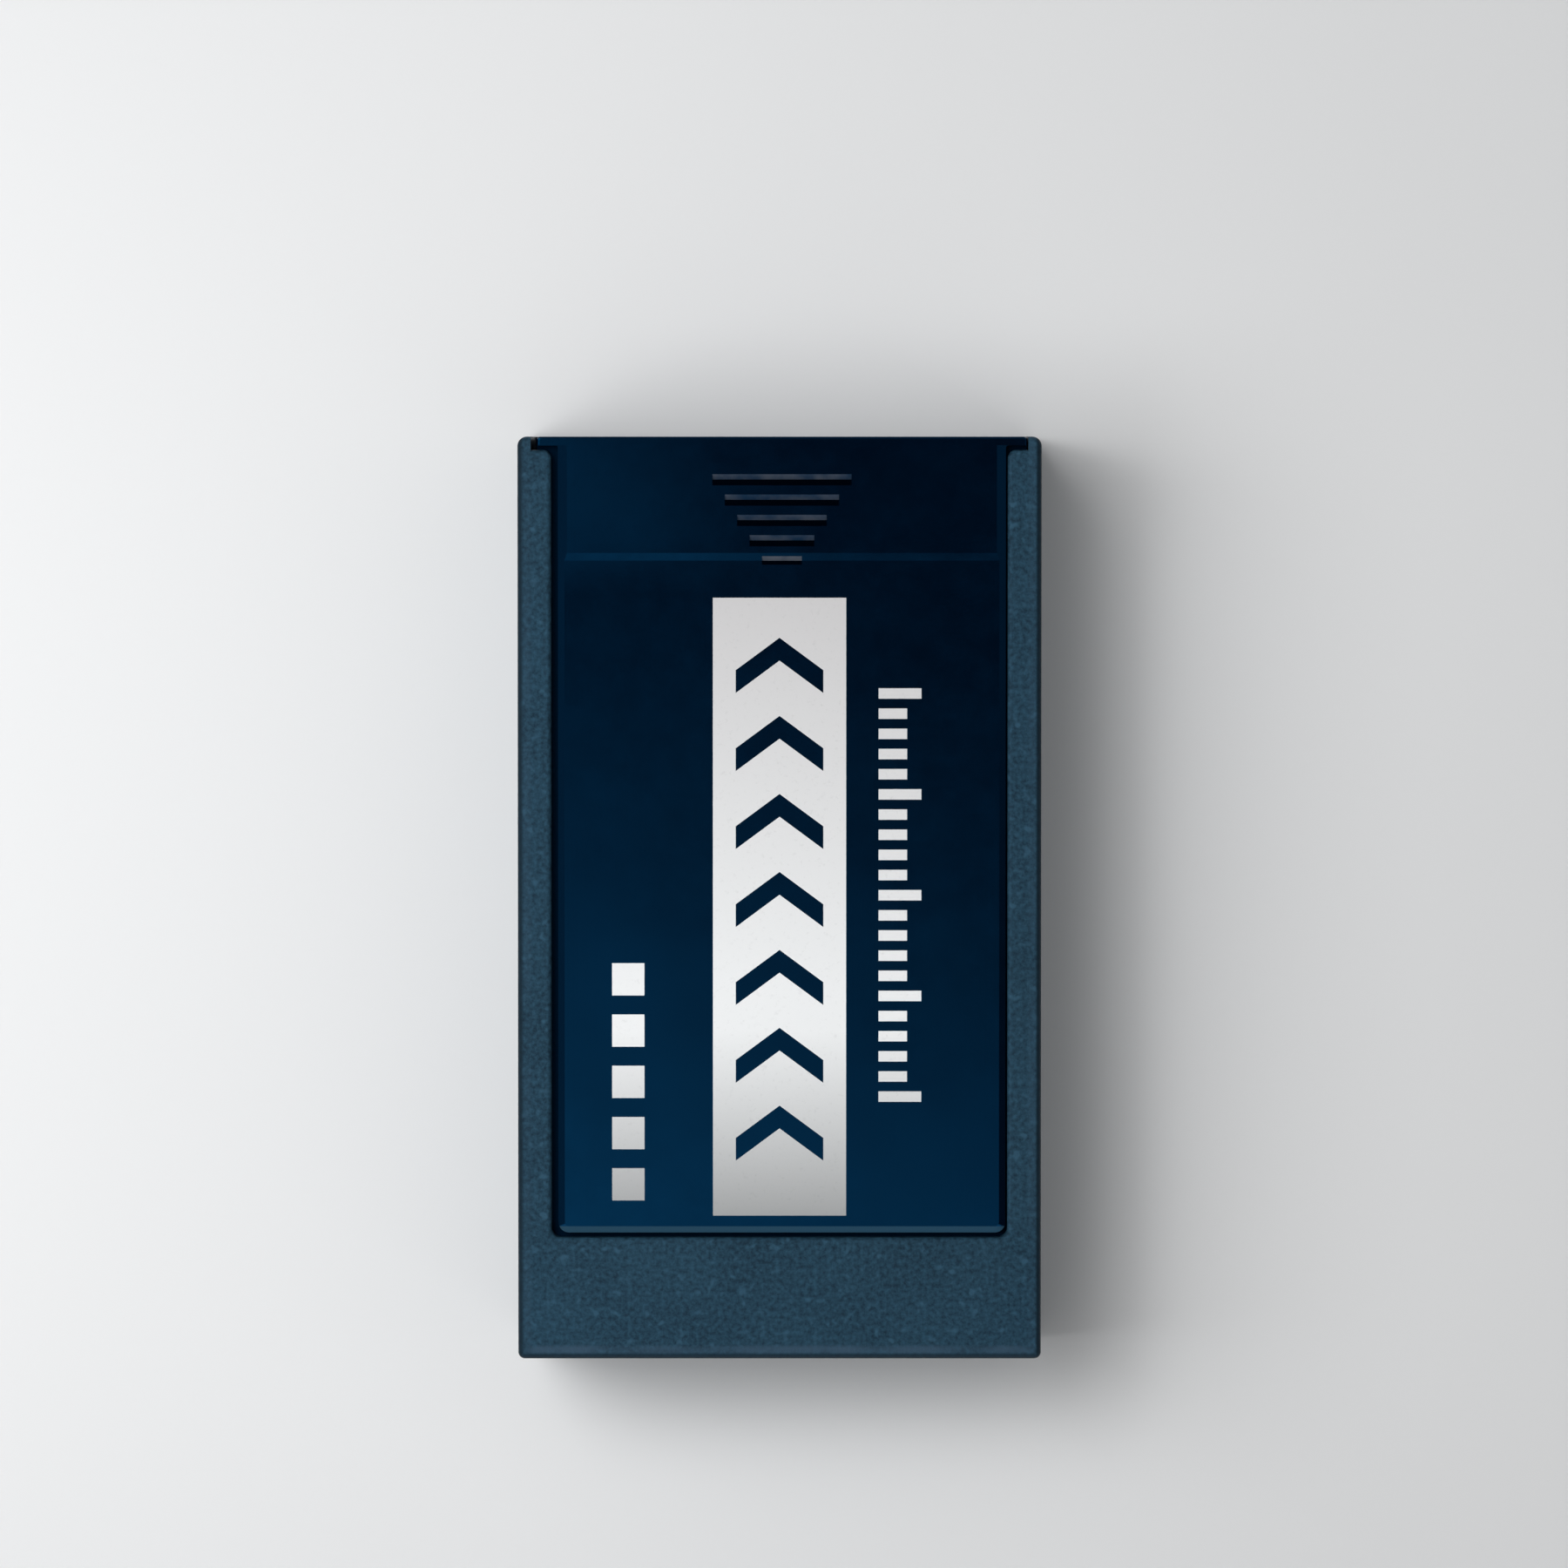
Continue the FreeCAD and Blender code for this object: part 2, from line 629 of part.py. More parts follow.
fill_sheet()
subparts = [
    build_box(),
    build_lid(),
    build_magnet("lower_magnet", LOWER_MAGNET),
    build_magnet("upper_magnet", UPPER_MAGNET),
    build_glue("lower_magnet_glue", LOWER_MAGNET),
    build_glue("upper_magnet_glue", UPPER_MAGNET),
]
check(subparts)
write(subparts)
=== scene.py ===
# %% [markdown]
# # A magnetic key holder box
#
# The object is a flat plastic box, 97 mm long, that holds a spare car key under a car or behind a steel door.
# It is two mouldings: a grained box, and a polished lid that slides out of the box's open end. Two ferrite
# blocks, glued into the back, hold it on the steel.
#
# The solids come from a CAD model, and they are right in shape and size, so they stay as they are. What is
# left for Blender is what an eye reads on them: how each material was made, the ink on the lid, the chips on
# the magnets, the glue that was squeezed out beside them, and the small marks that a mould leaves. Each of
# these gets a few words first and then a short cell of code.

# %% The solids, loaded as a fixed frame
import math

import bmesh
import bpy
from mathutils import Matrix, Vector, noise


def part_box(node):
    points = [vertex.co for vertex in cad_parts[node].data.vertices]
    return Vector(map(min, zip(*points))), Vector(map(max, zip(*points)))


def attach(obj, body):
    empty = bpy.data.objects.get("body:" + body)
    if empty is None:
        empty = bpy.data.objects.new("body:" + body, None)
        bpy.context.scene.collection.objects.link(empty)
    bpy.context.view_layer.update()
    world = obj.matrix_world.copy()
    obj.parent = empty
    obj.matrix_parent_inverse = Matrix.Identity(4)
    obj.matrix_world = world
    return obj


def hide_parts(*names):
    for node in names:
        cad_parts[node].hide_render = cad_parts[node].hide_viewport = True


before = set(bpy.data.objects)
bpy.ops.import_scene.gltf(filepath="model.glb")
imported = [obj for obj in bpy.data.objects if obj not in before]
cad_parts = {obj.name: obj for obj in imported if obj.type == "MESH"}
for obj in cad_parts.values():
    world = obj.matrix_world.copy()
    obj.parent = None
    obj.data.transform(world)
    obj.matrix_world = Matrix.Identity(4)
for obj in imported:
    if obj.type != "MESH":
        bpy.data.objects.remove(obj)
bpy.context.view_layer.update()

MM = 0.001  # metres
for name in sorted(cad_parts):
    low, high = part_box(name)
    print(name, "size in mm:", [round((b - a) / MM, 2) for a, b in zip(low, high)])

# %% [markdown]
# ## The helpers
#
# Colours are written as sRGB hex values, which is how a swatch or a picture gives them. Blender's shaders add
# up light, and light adds up in linear values, so one function turns the one into the other.
#
# A material in Blender is a tree of nodes. Building one in code is mostly repetition: make a node, set a few
# things on it, and feed it from others. One function does that for every kind of node. A setting is either a
# property of the node, such as `operation`, or the value of one of its sockets, such as `Roughness`.
#
# A socket goes by its name. Two kinds of node need more care. A Mix node has a socket `A` for every type of
# data, and only the one of its own type is enabled, so that is the one to take. A Math node's inputs all have
# the same name, and so do those of a Vector Math node, so they go by number.
#
# The CAD solids all keep their origin at the model's own origin, so a material's object coordinates are the
# model's coordinates, in metres. Every material here starts by turning them into millimetres. A noise of
# scale 1 then has features about 1 mm wide, and every pattern below can be given in its real size.

# %% The colour helper
def linear(hex_colour):
    """The linear colour, with alpha 1, of an sRGB colour such as "#284354"."""
    shares = [int(hex_colour[i : i + 2], 16) / 255 for i in (1, 3, 5)]
    return [s / 12.92 if s <= 0.04045 else ((s + 0.055) / 1.055) ** 2.4 for s in shares] + [1.0]


print("#284354 as linear:", [round(c, 4) for c in linear("#284354")])

# %% The node helpers
def socket_of(sockets, name):
    """The socket of that number, or the enabled one of that name."""
    if isinstance(name, int):
        return sockets[name]
    return next(socket for socket in sockets if socket.name == name and socket.enabled)


def feed(node, sources):
    """Links sockets of a node to their sources: a socket, or a node for the first of its enabled outputs."""
    for name, source in sources.items():
        if isinstance(source, bpy.types.Node):
            source = next(output for output in source.outputs if output.enabled)
        node.id_data.links.new(source, socket_of(node.inputs, name))


def add_node(tree, kind, settings=None, links=None):
    """Adds one node. settings maps a property or a socket to a value, links a socket to what feeds it."""
    node = tree.nodes.new(kind)
    for name, value in (settings or {}).items():
        if isinstance(name, str) and hasattr(node, name):
            setattr(node, name, value)
        else:
            socket_of(node.inputs, name).default_value = value
    feed(node, links or {})
    return node


def start_finish(name, **settings):
    """A new material with one Principled shader: the material, its tree, the shader and the place in mm."""
    finish = bpy.data.materials.new(name)
    finish.use_nodes = True
    tree = finish.node_tree
    shader = tree.nodes["Principled BSDF"]
    for socket, value in settings.items():
        shader.inputs[socket.replace("_", " ")].default_value = value
    place = add_node(tree, "ShaderNodeTexCoord")
    mm = add_node(
        tree, "ShaderNodeVectorMath",
        {"operation": "SCALE", "Scale": 1 / MM},
        {"Vector": place.outputs["Object"]},
    )
    return finish, tree, shader, mm


print("1 m is", 1 / MM, "mm")

# %% The mesh helpers
def into_scene(name, data):
    """A new object of the scene, for a mesh, a lamp or a camera."""
    thing = bpy.data.objects.new(name, data)
    bpy.context.scene.collection.objects.link(thing)
    return thing


def as_piece(name, shape):
    """Turns a finished bmesh into an object of the scene."""
    mesh = bpy.data.meshes.new(name)
    shape.to_mesh(mesh)
    shape.free()
    return into_scene(name, mesh)


# %% [markdown]
# ## The box: spark-eroded ABS
#
# The box is injection-moulded ABS. The steel of its mould was not polished but finished by spark erosion:
# each spark melts a tiny crater, and the plastic copies a whole field of them. To the eye that is a matt,
# slightly mottled slate blue, with no reflection that has an edge.
#
# The real craters are about 0.15 mm across. That is finer than one pixel of a view of the whole box, so they
# are drawn 0.30 mm across here, as coarse as they need to be to show. A second, softer mottling about 0.50 mm
# across changes the colour a little, because a field of craters never lies quite even, and here and there a
# stronger spark has left a lighter fleck. The relief itself is bump, and not displaced geometry: it is
# 0.02 mm deep, far too shallow to change an outline.
#
# Only the outside of the mould was eroded. The inside was shaped by a core that was left as milled and
# stoned, so in there the same plastic is smoother. Its colour is painted darker in there too, partly for that
# smoother finish and partly as painted shade in the hollows and gaps of the box. A mask from the box's own
# measurements tells the two apart. A second mask follows the outer edges of the top: just inside their
# rounding runs a slightly lighter, smoother line. It is partly grain rubbed by hands and pockets and partly a
# painted highlight of the light that the rounding catches, strongest along the closed end. The rounding
# itself is painted darker, as painted shade where it turns away from the light.

# %% The plastic of the box, and where the core shaped it
CORE_HALF_WIDTH, CORE_END, CORE_TOP, CORE_FLOOR = 26.15, -46.95, 20.55, 1.2  # mm

eroded_abs, tree, shader, mm = start_finish(
    "ABS, spark-eroded, slate blue",
    IOR=1.53, Roughness=0.55, Specular_IOR_Level=0.25, Specular_Tint=(0.4, 0.68, 1.0, 1.0),
)
part = add_node(tree, "ShaderNodeSeparateXYZ", links={"Vector": mm})
across = add_node(tree, "ShaderNodeMath", {"operation": "ABSOLUTE"}, {0: part.outputs["X"]})
inside_walls = add_node(tree, "ShaderNodeMath", {"operation": "LESS_THAN", 1: CORE_HALF_WIDTH}, {0: across})
inside_end = add_node(
    tree, "ShaderNodeMath", {"operation": "GREATER_THAN", 1: CORE_END}, {0: part.outputs["Y"]}
)
under_lip = add_node(tree, "ShaderNodeMath", {"operation": "LESS_THAN", 1: CORE_TOP}, {0: part.outputs["Z"]})
over_back = add_node(
    tree, "ShaderNodeMath", {"operation": "GREATER_THAN", 1: CORE_FLOOR}, {0: part.outputs["Z"]}
)
in_plan = add_node(tree, "ShaderNodeMath", {"operation": "MULTIPLY"}, {0: inside_walls, 1: inside_end})
in_height = add_node(tree, "ShaderNodeMath", {"operation": "MULTIPLY"}, {0: under_lip, 1: over_back})
cored = add_node(tree, "ShaderNodeMath", {"operation": "MULTIPLY"}, {0: in_plan, 1: in_height})
print("the core was", 2 * CORE_HALF_WIDTH, "mm wide")

# %% The colour of the box
MOTTLE = 0.50  # mm across
CLOUD = 8  # mm across, a broad unevenness
FLECK = 1.1  # mm across

mottle = add_node(
    tree, "ShaderNodeTexNoise", {"Scale": 1 / MOTTLE, "Detail": 3.0, "Roughness": 0.65}, {"Vector": mm}
)
clouds = add_node(tree, "ShaderNodeTexNoise", {"Scale": 1 / CLOUD, "Detail": 2.0}, {"Vector": mm})
both = add_node(tree, "ShaderNodeMix", {"data_type": "FLOAT", "Factor": 0.15}, {"A": mottle, "B": clouds})
spread = add_node(tree, "ShaderNodeMapRange", {"From Min": 0.35, "From Max": 0.65}, {"Value": both})
evened = add_node(
    tree, "ShaderNodeMix",
    {"data_type": "RGBA", "A": linear("#112430"), "B": linear("#254456")},
    {"Factor": spread},
)
sparks = add_node(tree, "ShaderNodeTexNoise", {"Scale": 1 / FLECK, "Detail": 1.0}, {"Vector": mm})
flecks = add_node(
    tree, "ShaderNodeMapRange", {"From Min": 0.62, "From Max": 0.74, "To Max": 0.7}, {"Value": sparks}
)
grained = add_node(
    tree, "ShaderNodeMix", {"data_type": "RGBA", "B": linear("#2f5064")}, {"Factor": flecks, "A": evened}
)
print("noise scales per mm:", [round(1 / size, 3) for size in (MOTTLE, CLOUD, FLECK)])

# %% The line along the edges: rubbed grain and a painted highlight
HALF_WIDTH, HALF_LENGTH = 27.5, 48.5  # mm, of the box
LINE_STARTS, LINE_FULL, LINE_FADES, LINE_ENDS = 0.35, 0.8, 1.1, 1.6  # mm in from the edge
LINE_ABOVE = 21.4  # mm up

from_side = add_node(tree, "ShaderNodeMath", {"operation": "SUBTRACT", 0: HALF_WIDTH}, {1: across})
from_end = add_node(tree, "ShaderNodeMath", {"operation": "ADD", 1: HALF_LENGTH}, {0: part.outputs["Y"]})
from_edge = add_node(tree, "ShaderNodeMath", {"operation": "MINIMUM"}, {0: from_side, 1: from_end})
outer = add_node(
    tree, "ShaderNodeMapRange",
    {"interpolation_type": "SMOOTHSTEP", "From Min": LINE_STARTS, "From Max": LINE_FULL},
    {"Value": from_edge},
)
inner = add_node(
    tree, "ShaderNodeMapRange",
    {"interpolation_type": "SMOOTHSTEP", "From Min": LINE_ENDS, "From Max": LINE_FADES},
    {"Value": from_edge},
)
on_top = add_node(
    tree, "ShaderNodeMath", {"operation": "GREATER_THAN", 1: LINE_ABOVE}, {0: part.outputs["Z"]}
)
line = add_node(tree, "ShaderNodeMath", {"operation": "MULTIPLY"}, {0: outer, 1: inner})
uneven = add_node(
    tree, "ShaderNodeMapRange",
    {"From Min": 0.35, "From Max": 0.6, "To Min": 0.25, "To Max": 0.9},
    {"Value": clouds},
)
# The painted highlight is strongest along the closed end, the side that the light comes from.
nearer_end = add_node(tree, "ShaderNodeMath", {"operation": "SUBTRACT"}, {0: from_side, 1: from_end})
at_end = add_node(
    tree, "ShaderNodeMapRange",
    {"From Min": -0.5, "From Max": 1.0, "To Min": 0.2, "To Max": 1.0},
    {"Value": nearer_end},
)
line_on_top = add_node(tree, "ShaderNodeMath", {"operation": "MULTIPLY"}, {0: line, 1: on_top})
line_by_place = add_node(tree, "ShaderNodeMath", {"operation": "MULTIPLY"}, {0: line_on_top, 1: at_end})
wear_and_highlight = add_node(tree, "ShaderNodeMath", {"operation": "MULTIPLY"}, {0: line_by_place, 1: uneven})
# Painted highlight: the line is painted lighter, partly rubbed grain and partly the light that the rounding
# catches.
worn_and_highlit = add_node(
    tree, "ShaderNodeMix", {"data_type": "RGBA", "B": linear("#33485a")}, {"Factor": wear_and_highlight, "A": grained}
)
print("the rubbed line is", round(LINE_ENDS - LINE_STARTS, 2), "mm wide")

# %% The painted shade in the rounding, and the colour and dullness of it all
EDGE_SHADE_FULL, EDGE_SHADE_ENDS = 0.35, 0.7  # mm in from the edge
EDGE_SHADE_ABOVE = 21.2  # mm up

# Painted shade: the rounding of the top edges is painted darker, where it turns away from the light.
edge_shade = add_node(
    tree, "ShaderNodeMapRange",
    {"interpolation_type": "SMOOTHSTEP", "From Min": EDGE_SHADE_ENDS, "From Max": EDGE_SHADE_FULL, "To Max": 0.85},
    {"Value": from_edge},
)
near_top = add_node(
    tree, "ShaderNodeMath", {"operation": "GREATER_THAN", 1: EDGE_SHADE_ABOVE}, {0: part.outputs["Z"]}
)
edge_shade_on_top = add_node(tree, "ShaderNodeMath", {"operation": "MULTIPLY"}, {0: edge_shade, 1: near_top})
edged = add_node(
    tree, "ShaderNodeMix", {"data_type": "RGBA", "B": linear("#0a161d")}, {"Factor": edge_shade_on_top, "A": worn_and_highlit}
)
# Inside the box the colour is painted darker: partly the smoother core finish, partly painted shade in its
# hollows and gaps.
all_over = add_node(
    tree, "ShaderNodeMix", {"data_type": "RGBA", "B": linear("#0c1a25")}, {"Factor": cored, "A": edged}
)
dull = add_node(tree, "ShaderNodeMix", {"data_type": "FLOAT", "A": 0.55, "B": 0.46}, {"Factor": wear_and_highlight})
dullness = add_node(tree, "ShaderNodeMix", {"data_type": "FLOAT", "B": 0.36}, {"Factor": cored, "A": dull})
feed(shader, {"Base Color": all_over, "Roughness": dullness})
print("the dirt reaches", EDGE_SHADE_ENDS, "mm in from the edge")

# %% The relief of the box
CRATER = 0.30  # mm across, drawn coarser than the real 0.15 mm
CRATER_DEPTH = 0.020  # mm
STONED = (0.25, 3.0, 3.0)  # marks per mm: stoning leaves them 4 mm long across the box and 0.33 mm wide
STONED_DEPTH = 0.004  # mm

craters = add_node(
    tree, "ShaderNodeTexVoronoi",
    {"feature": "SMOOTH_F1", "Scale": 1 / CRATER, "Smoothness": 0.35, "Detail": 1.0, "Roughness": 0.5},
    {"Vector": mm},
)
crater_bump = add_node(tree, "ShaderNodeBump", {"Distance": CRATER_DEPTH * MM}, {"Height": craters})
stoned = add_node(tree, "ShaderNodeVectorMath", {"operation": "MULTIPLY", 1: STONED}, {0: mm})
stoning = add_node(tree, "ShaderNodeTexNoise", {"Scale": 1.0, "Detail": 4.0}, {"Vector": stoned})
stoning_bump = add_node(tree, "ShaderNodeBump", {"Distance": STONED_DEPTH * MM}, {"Height": stoning})
relief = add_node(
    tree, "ShaderNodeMix", {"data_type": "VECTOR"}, {"Factor": cored, "A": crater_bump, "B": stoning_bump}
)
feed(shader, {"Normal": relief})
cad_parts["box_body"].data.materials[0] = eroded_abs
print(eroded_abs.name, "has", len(tree.nodes), "nodes")

# %% [markdown]
# ## The lid: mould-polished ABS
#
# The lid is the same plastic from a mould whose steel was polished, so it comes out smooth and glossy. A dark
# glossy surface has hardly a colour of its own: nearly all that the eye sees on it is the room. So its base
# colour is a very dark navy, and how light or dark it looks is left to its reflections.
#
# Polishing by hand leaves the steel a little wavy, and the plastic shrinks a little as it cools, so the
# reflection is never quite straight. Three bumps do that. The first is a warp: the open end, where the thick
# flange cooled last, has pulled up by about a degree, most of all at its left corner. The second is the
# broad, very shallow swell of the steel. The third, stretched along the lid, is the fine hairlines that
# sliding in and out of the rails draws.
#
# Masks, again from measurements, break up the finish. The bevel at the inner end of the lid meets the deck of
# the box each time it is closed, so it is duller, and its colour is painted lighter, as a painted highlight of
# the light that it catches. In the grip, the walls that look towards the closed end are duller and painted a
# patchy grey, lightest on the last, as a painted highlight. The ramps behind them are painted black, as
# painted shade; those two differ in which way they face. Everything under the face, which the polisher never
# reached, is as plain and dull as the mould left it.

# %% The plastic of the lid, and its relief
WARP = 0.4  # mm that the warp would rise, if it ran on past the end of the lid
WARP_ALONG = (32.0, 58.0)  # mm, from where it starts to where it would be full
WARP_ACROSS = (14.0, -22.0)  # mm
WAVE = 16  # mm from one swell of the polished face to the next
WAVE_DEPTH = 0.035  # mm
HAIRLINE = 0.12  # mm across, drawn coarser than the real 0.02 mm
HAIRLINE_LENGTH = 30  # mm
HAIRLINE_DEPTH = 0.0006  # mm

polished_abs, tree, shader, mm = start_finish(
    "ABS, mould-polished, navy",
    IOR=1.53, Roughness=0.1, Specular_IOR_Level=0.65, Specular_Tint=(0.02, 0.39, 1.0, 1.0),
)
part = add_node(tree, "ShaderNodeSeparateXYZ", links={"Vector": mm})
rise = add_node(
    tree, "ShaderNodeMapRange",
    {"interpolation_type": "SMOOTHSTEP", "From Min": WARP_ALONG[0], "From Max": WARP_ALONG[1]},
    {"Value": part.outputs["Y"]},
)
leftward = add_node(
    tree, "ShaderNodeMapRange",
    {"interpolation_type": "SMOOTHSTEP", "From Min": WARP_ACROSS[0], "From Max": WARP_ACROSS[1]},
    {"Value": part.outputs["X"]},
)
warp = add_node(tree, "ShaderNodeMath", {"operation": "MULTIPLY"}, {0: rise, 1: leftward})
warp_bump = add_node(tree, "ShaderNodeBump", {"Distance": WARP * MM}, {"Height": warp})
swells = add_node(tree, "ShaderNodeTexNoise", {"Scale": 1 / WAVE, "Detail": 1.0}, {"Vector": mm})
swell_bump = add_node(
    tree, "ShaderNodeBump", {"Distance": WAVE_DEPTH * MM}, {"Height": swells, "Normal": warp_bump}
)
stretch = (1 / HAIRLINE, 1 / HAIRLINE_LENGTH, 1 / HAIRLINE)
along = add_node(tree, "ShaderNodeVectorMath", {"operation": "MULTIPLY", 1: stretch}, {0: mm})
hairlines = add_node(tree, "ShaderNodeTexNoise", {"Scale": 1.0, "Detail": 2.0}, {"Vector": along})
hairline_bump = add_node(
    tree, "ShaderNodeBump", {"Distance": HAIRLINE_DEPTH * MM}, {"Height": hairlines, "Normal": swell_bump}
)
feed(shader, {"Normal": hairline_bump})
print("the hairlines are stretched", round(HAIRLINE_LENGTH / HAIRLINE), "times")

# %% The colour of the lid
RESIN = 9  # mm across, the faint clouds in the colour of the plastic
BEVEL_LIGHT_STARTS, BEVEL_LIGHT_FULL = -34.45, -34.62  # mm along the lid, at the top of its bevel
FACE_FROM = 21.5  # mm up: the polished face is higher than this, and the tongue lower

resin = add_node(
    tree, "ShaderNodeTexNoise", {"Scale": 1 / RESIN, "Detail": 3.0, "Roughness": 0.6}, {"Vector": mm}
)
navy = add_node(
    tree, "ShaderNodeMix",
    {"data_type": "RGBA", "A": linear("#010510"), "B": linear("#010918")},
    {"Factor": resin},
)
low_rim = add_node(
    tree, "ShaderNodeMapRange",
    {"interpolation_type": "SMOOTHSTEP", "From Min": BEVEL_LIGHT_STARTS, "From Max": BEVEL_LIGHT_FULL},
    {"Value": part.outputs["Y"]},
)
over_tongue = add_node(
    tree, "ShaderNodeMath", {"operation": "GREATER_THAN", 1: FACE_FROM}, {0: part.outputs["Z"]}
)
# Painted highlight: the top of the bevel at the inner end is painted lighter, for the light that it catches,
# and made duller.
wear_and_highlight = add_node(tree, "ShaderNodeMath", {"operation": "MULTIPLY"}, {0: low_rim, 1: over_tongue})
with_bevel_highlight = add_node(
    tree, "ShaderNodeMix", {"data_type": "RGBA", "B": linear("#24312d")}, {"Factor": wear_and_highlight, "A": navy}
)
print("the bevel_highlight comes in over", round(BEVEL_LIGHT_STARTS - BEVEL_LIGHT_FULL, 2), "mm")

# %% The grip: a painted highlight on its walls and painted shade in its ramps
GRIP_MIDDLE, GRIP_REACH, GRIP_HALF_WIDTH = 39.5, 6.5, 7.6  # mm
LAST_WALL = 36.0  # mm along the lid: the last of the grip's walls lies before this
STEEP = 0.3  # how much a face of the grip has to look along the lid to count as a wall or a ramp
WALL_PATCH = 2.2  # mm across, the patches in which the painted highlight on the walls varies

way = add_node(tree, "ShaderNodeNewGeometry")
facing = add_node(tree, "ShaderNodeSeparateXYZ", links={"Vector": way.outputs["True Normal"]})
from_middle = add_node(tree, "ShaderNodeMath", {"operation": "ABSOLUTE"}, {0: part.outputs["X"]})
grip_high = add_node(
    tree, "ShaderNodeMath", {"operation": "COMPARE", 1: GRIP_MIDDLE, 2: GRIP_REACH}, {0: part.outputs["Y"]}
)
grip_wide = add_node(tree, "ShaderNodeMath", {"operation": "LESS_THAN", 1: GRIP_HALF_WIDTH}, {0: from_middle})
in_grip = add_node(tree, "ShaderNodeMath", {"operation": "MULTIPLY"}, {0: grip_high, 1: grip_wide})
facing_closed_end = add_node(tree, "ShaderNodeMath", {"operation": "LESS_THAN", 1: -STEEP}, {0: facing.outputs["Y"]})
facing_open_end = add_node(tree, "ShaderNodeMath", {"operation": "GREATER_THAN", 1: STEEP}, {0: facing.outputs["Y"]})
highlit_walls = add_node(tree, "ShaderNodeMath", {"operation": "MULTIPLY"}, {0: in_grip, 1: facing_closed_end})
ramp_shade = add_node(tree, "ShaderNodeMath", {"operation": "MULTIPLY"}, {0: in_grip, 1: facing_open_end})
wall_patches = add_node(tree, "ShaderNodeTexNoise", {"Scale": 1 / WALL_PATCH, "Detail": 3.0}, {"Vector": mm})
patchiness = add_node(
    tree, "ShaderNodeMapRange", {"From Min": 0.35, "From Max": 0.65, "To Max": 0.5}, {"Value": wall_patches}
)
last = add_node(tree, "ShaderNodeMath", {"operation": "LESS_THAN", 1: LAST_WALL}, {0: part.outputs["Y"]})
wall_lightness = add_node(tree, "ShaderNodeMath", {"operation": "MULTIPLY_ADD", 1: 0.6}, {0: last, 2: patchiness})
# Painted highlight: the walls that look towards the closed end are painted a patchy grey, lightest on the last
# wall.
skin = add_node(
    tree, "ShaderNodeMix",
    {"data_type": "RGBA", "A": linear("#0f0e10"), "B": linear("#4c4a47")},
    {"Factor": wall_lightness},
)
with_walls = add_node(
    tree, "ShaderNodeMix", {"data_type": "RGBA"}, {"Factor": highlit_walls, "A": with_bevel_highlight, "B": skin}
)
# Painted shade: the ramps that look towards the open end are painted black.
with_ramp_shade = add_node(
    tree, "ShaderNodeMix", {"data_type": "RGBA", "B": linear("#000003")}, {"Factor": ramp_shade, "A": with_walls}
)
print("the grip is worn from", GRIP_MIDDLE - GRIP_REACH, "to", GRIP_MIDDLE + GRIP_REACH, "mm along the lid")

# %% Under the face
FLANGE_FROM = 47.55  # mm along the lid: the flange, which is polished all over, begins here

under_face = add_node(
    tree, "ShaderNodeMath", {"operation": "LESS_THAN", 1: FACE_FROM}, {0: part.outputs["Z"]}
)
before_flange = add_node(
    tree, "ShaderNodeMath", {"operation": "LESS_THAN", 1: FLANGE_FROM}, {0: part.outputs["Y"]}
)
unpolished = add_node(tree, "ShaderNodeMath", {"operation": "MULTIPLY"}, {0: under_face, 1: before_flange})
all_over = add_node(
    tree, "ShaderNodeMix",
    {"data_type": "RGBA", "B": linear("#00050f")},
    {"Factor": unpolished, "A": with_ramp_shade},
)
feed(shader, {"Base Color": all_over})
print("unpolished below", FACE_FROM, "mm, as far as", FLANGE_FROM, "mm along the lid")

# %% The gloss of the lid
HANDLED = 3  # mm across, the patches that handling leaves

handled = add_node(
    tree, "ShaderNodeTexNoise", {"Scale": 1 / HANDLED, "Detail": 5.0, "Roughness": 0.7}, {"Vector": mm}
)
gloss = add_node(
    tree, "ShaderNodeMapRange",
    {"From Min": 0.3, "From Max": 0.7, "To Min": 0.08, "To Max": 0.13},
    {"Value": handled},
)
worn_gloss = add_node(tree, "ShaderNodeMix", {"data_type": "FLOAT", "B": 0.3}, {"Factor": wear_and_highlight, "A": gloss})
grip_gloss = add_node(
    tree, "ShaderNodeMix", {"data_type": "FLOAT", "B": 0.6}, {"Factor": highlit_walls, "A": worn_gloss}
)
dullness = add_node(
    tree, "ShaderNodeMix", {"data_type": "FLOAT", "B": 0.85}, {"Factor": unpolished, "A": grip_gloss}
)
feed(shader, {"Roughness": dullness})
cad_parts["sliding_lid"].data.materials[0] = polished_abs
print(polished_abs.name, "has", len(tree.nodes), "nodes")

# %% [markdown]
# ## The print: pad-printed ink
#
# The face of the lid is printed in one silver-white ink: a bar that shades from grey through white to grey,
# with arrows left open in it that point the way the lid slides, a column of squares on its left, and a scale
# of plain dashes on its right. Pad printing lays down a film of ink about 0.01 mm thick with a crisp edge.
#
# It could be painted onto the lid's material with a mask, but then its edges are only as sharp as the mask,
# and it has no thickness. Here it is real geometry: flat curves of straight runs, with the arrows as holes in
# the bar, made into a mesh and laid on the lid's face. Blender fills a 2D curve by itself, and a spline
# inside another becomes a hole.

# %% The shapes of the print
DASH_PITCH = 2.12  # mm from dash to dash; every fifth dash is longer


def rectangle(x0, y0, x1, y1):
    """The four corners, in mm."""
    return [(x0, y0), (x1, y0), (x1, y1), (x0, y1)]


def arrow(tip, half_width, rise, stroke):
    """A chevron that points along +Y, with its tip at that height, in mm."""
    return [
        (0, tip), (half_width, tip - rise), (half_width, tip - rise - stroke),
        (0, tip - stroke), (-half_width, tip - rise - stroke), (-half_width, tip - rise),
    ]


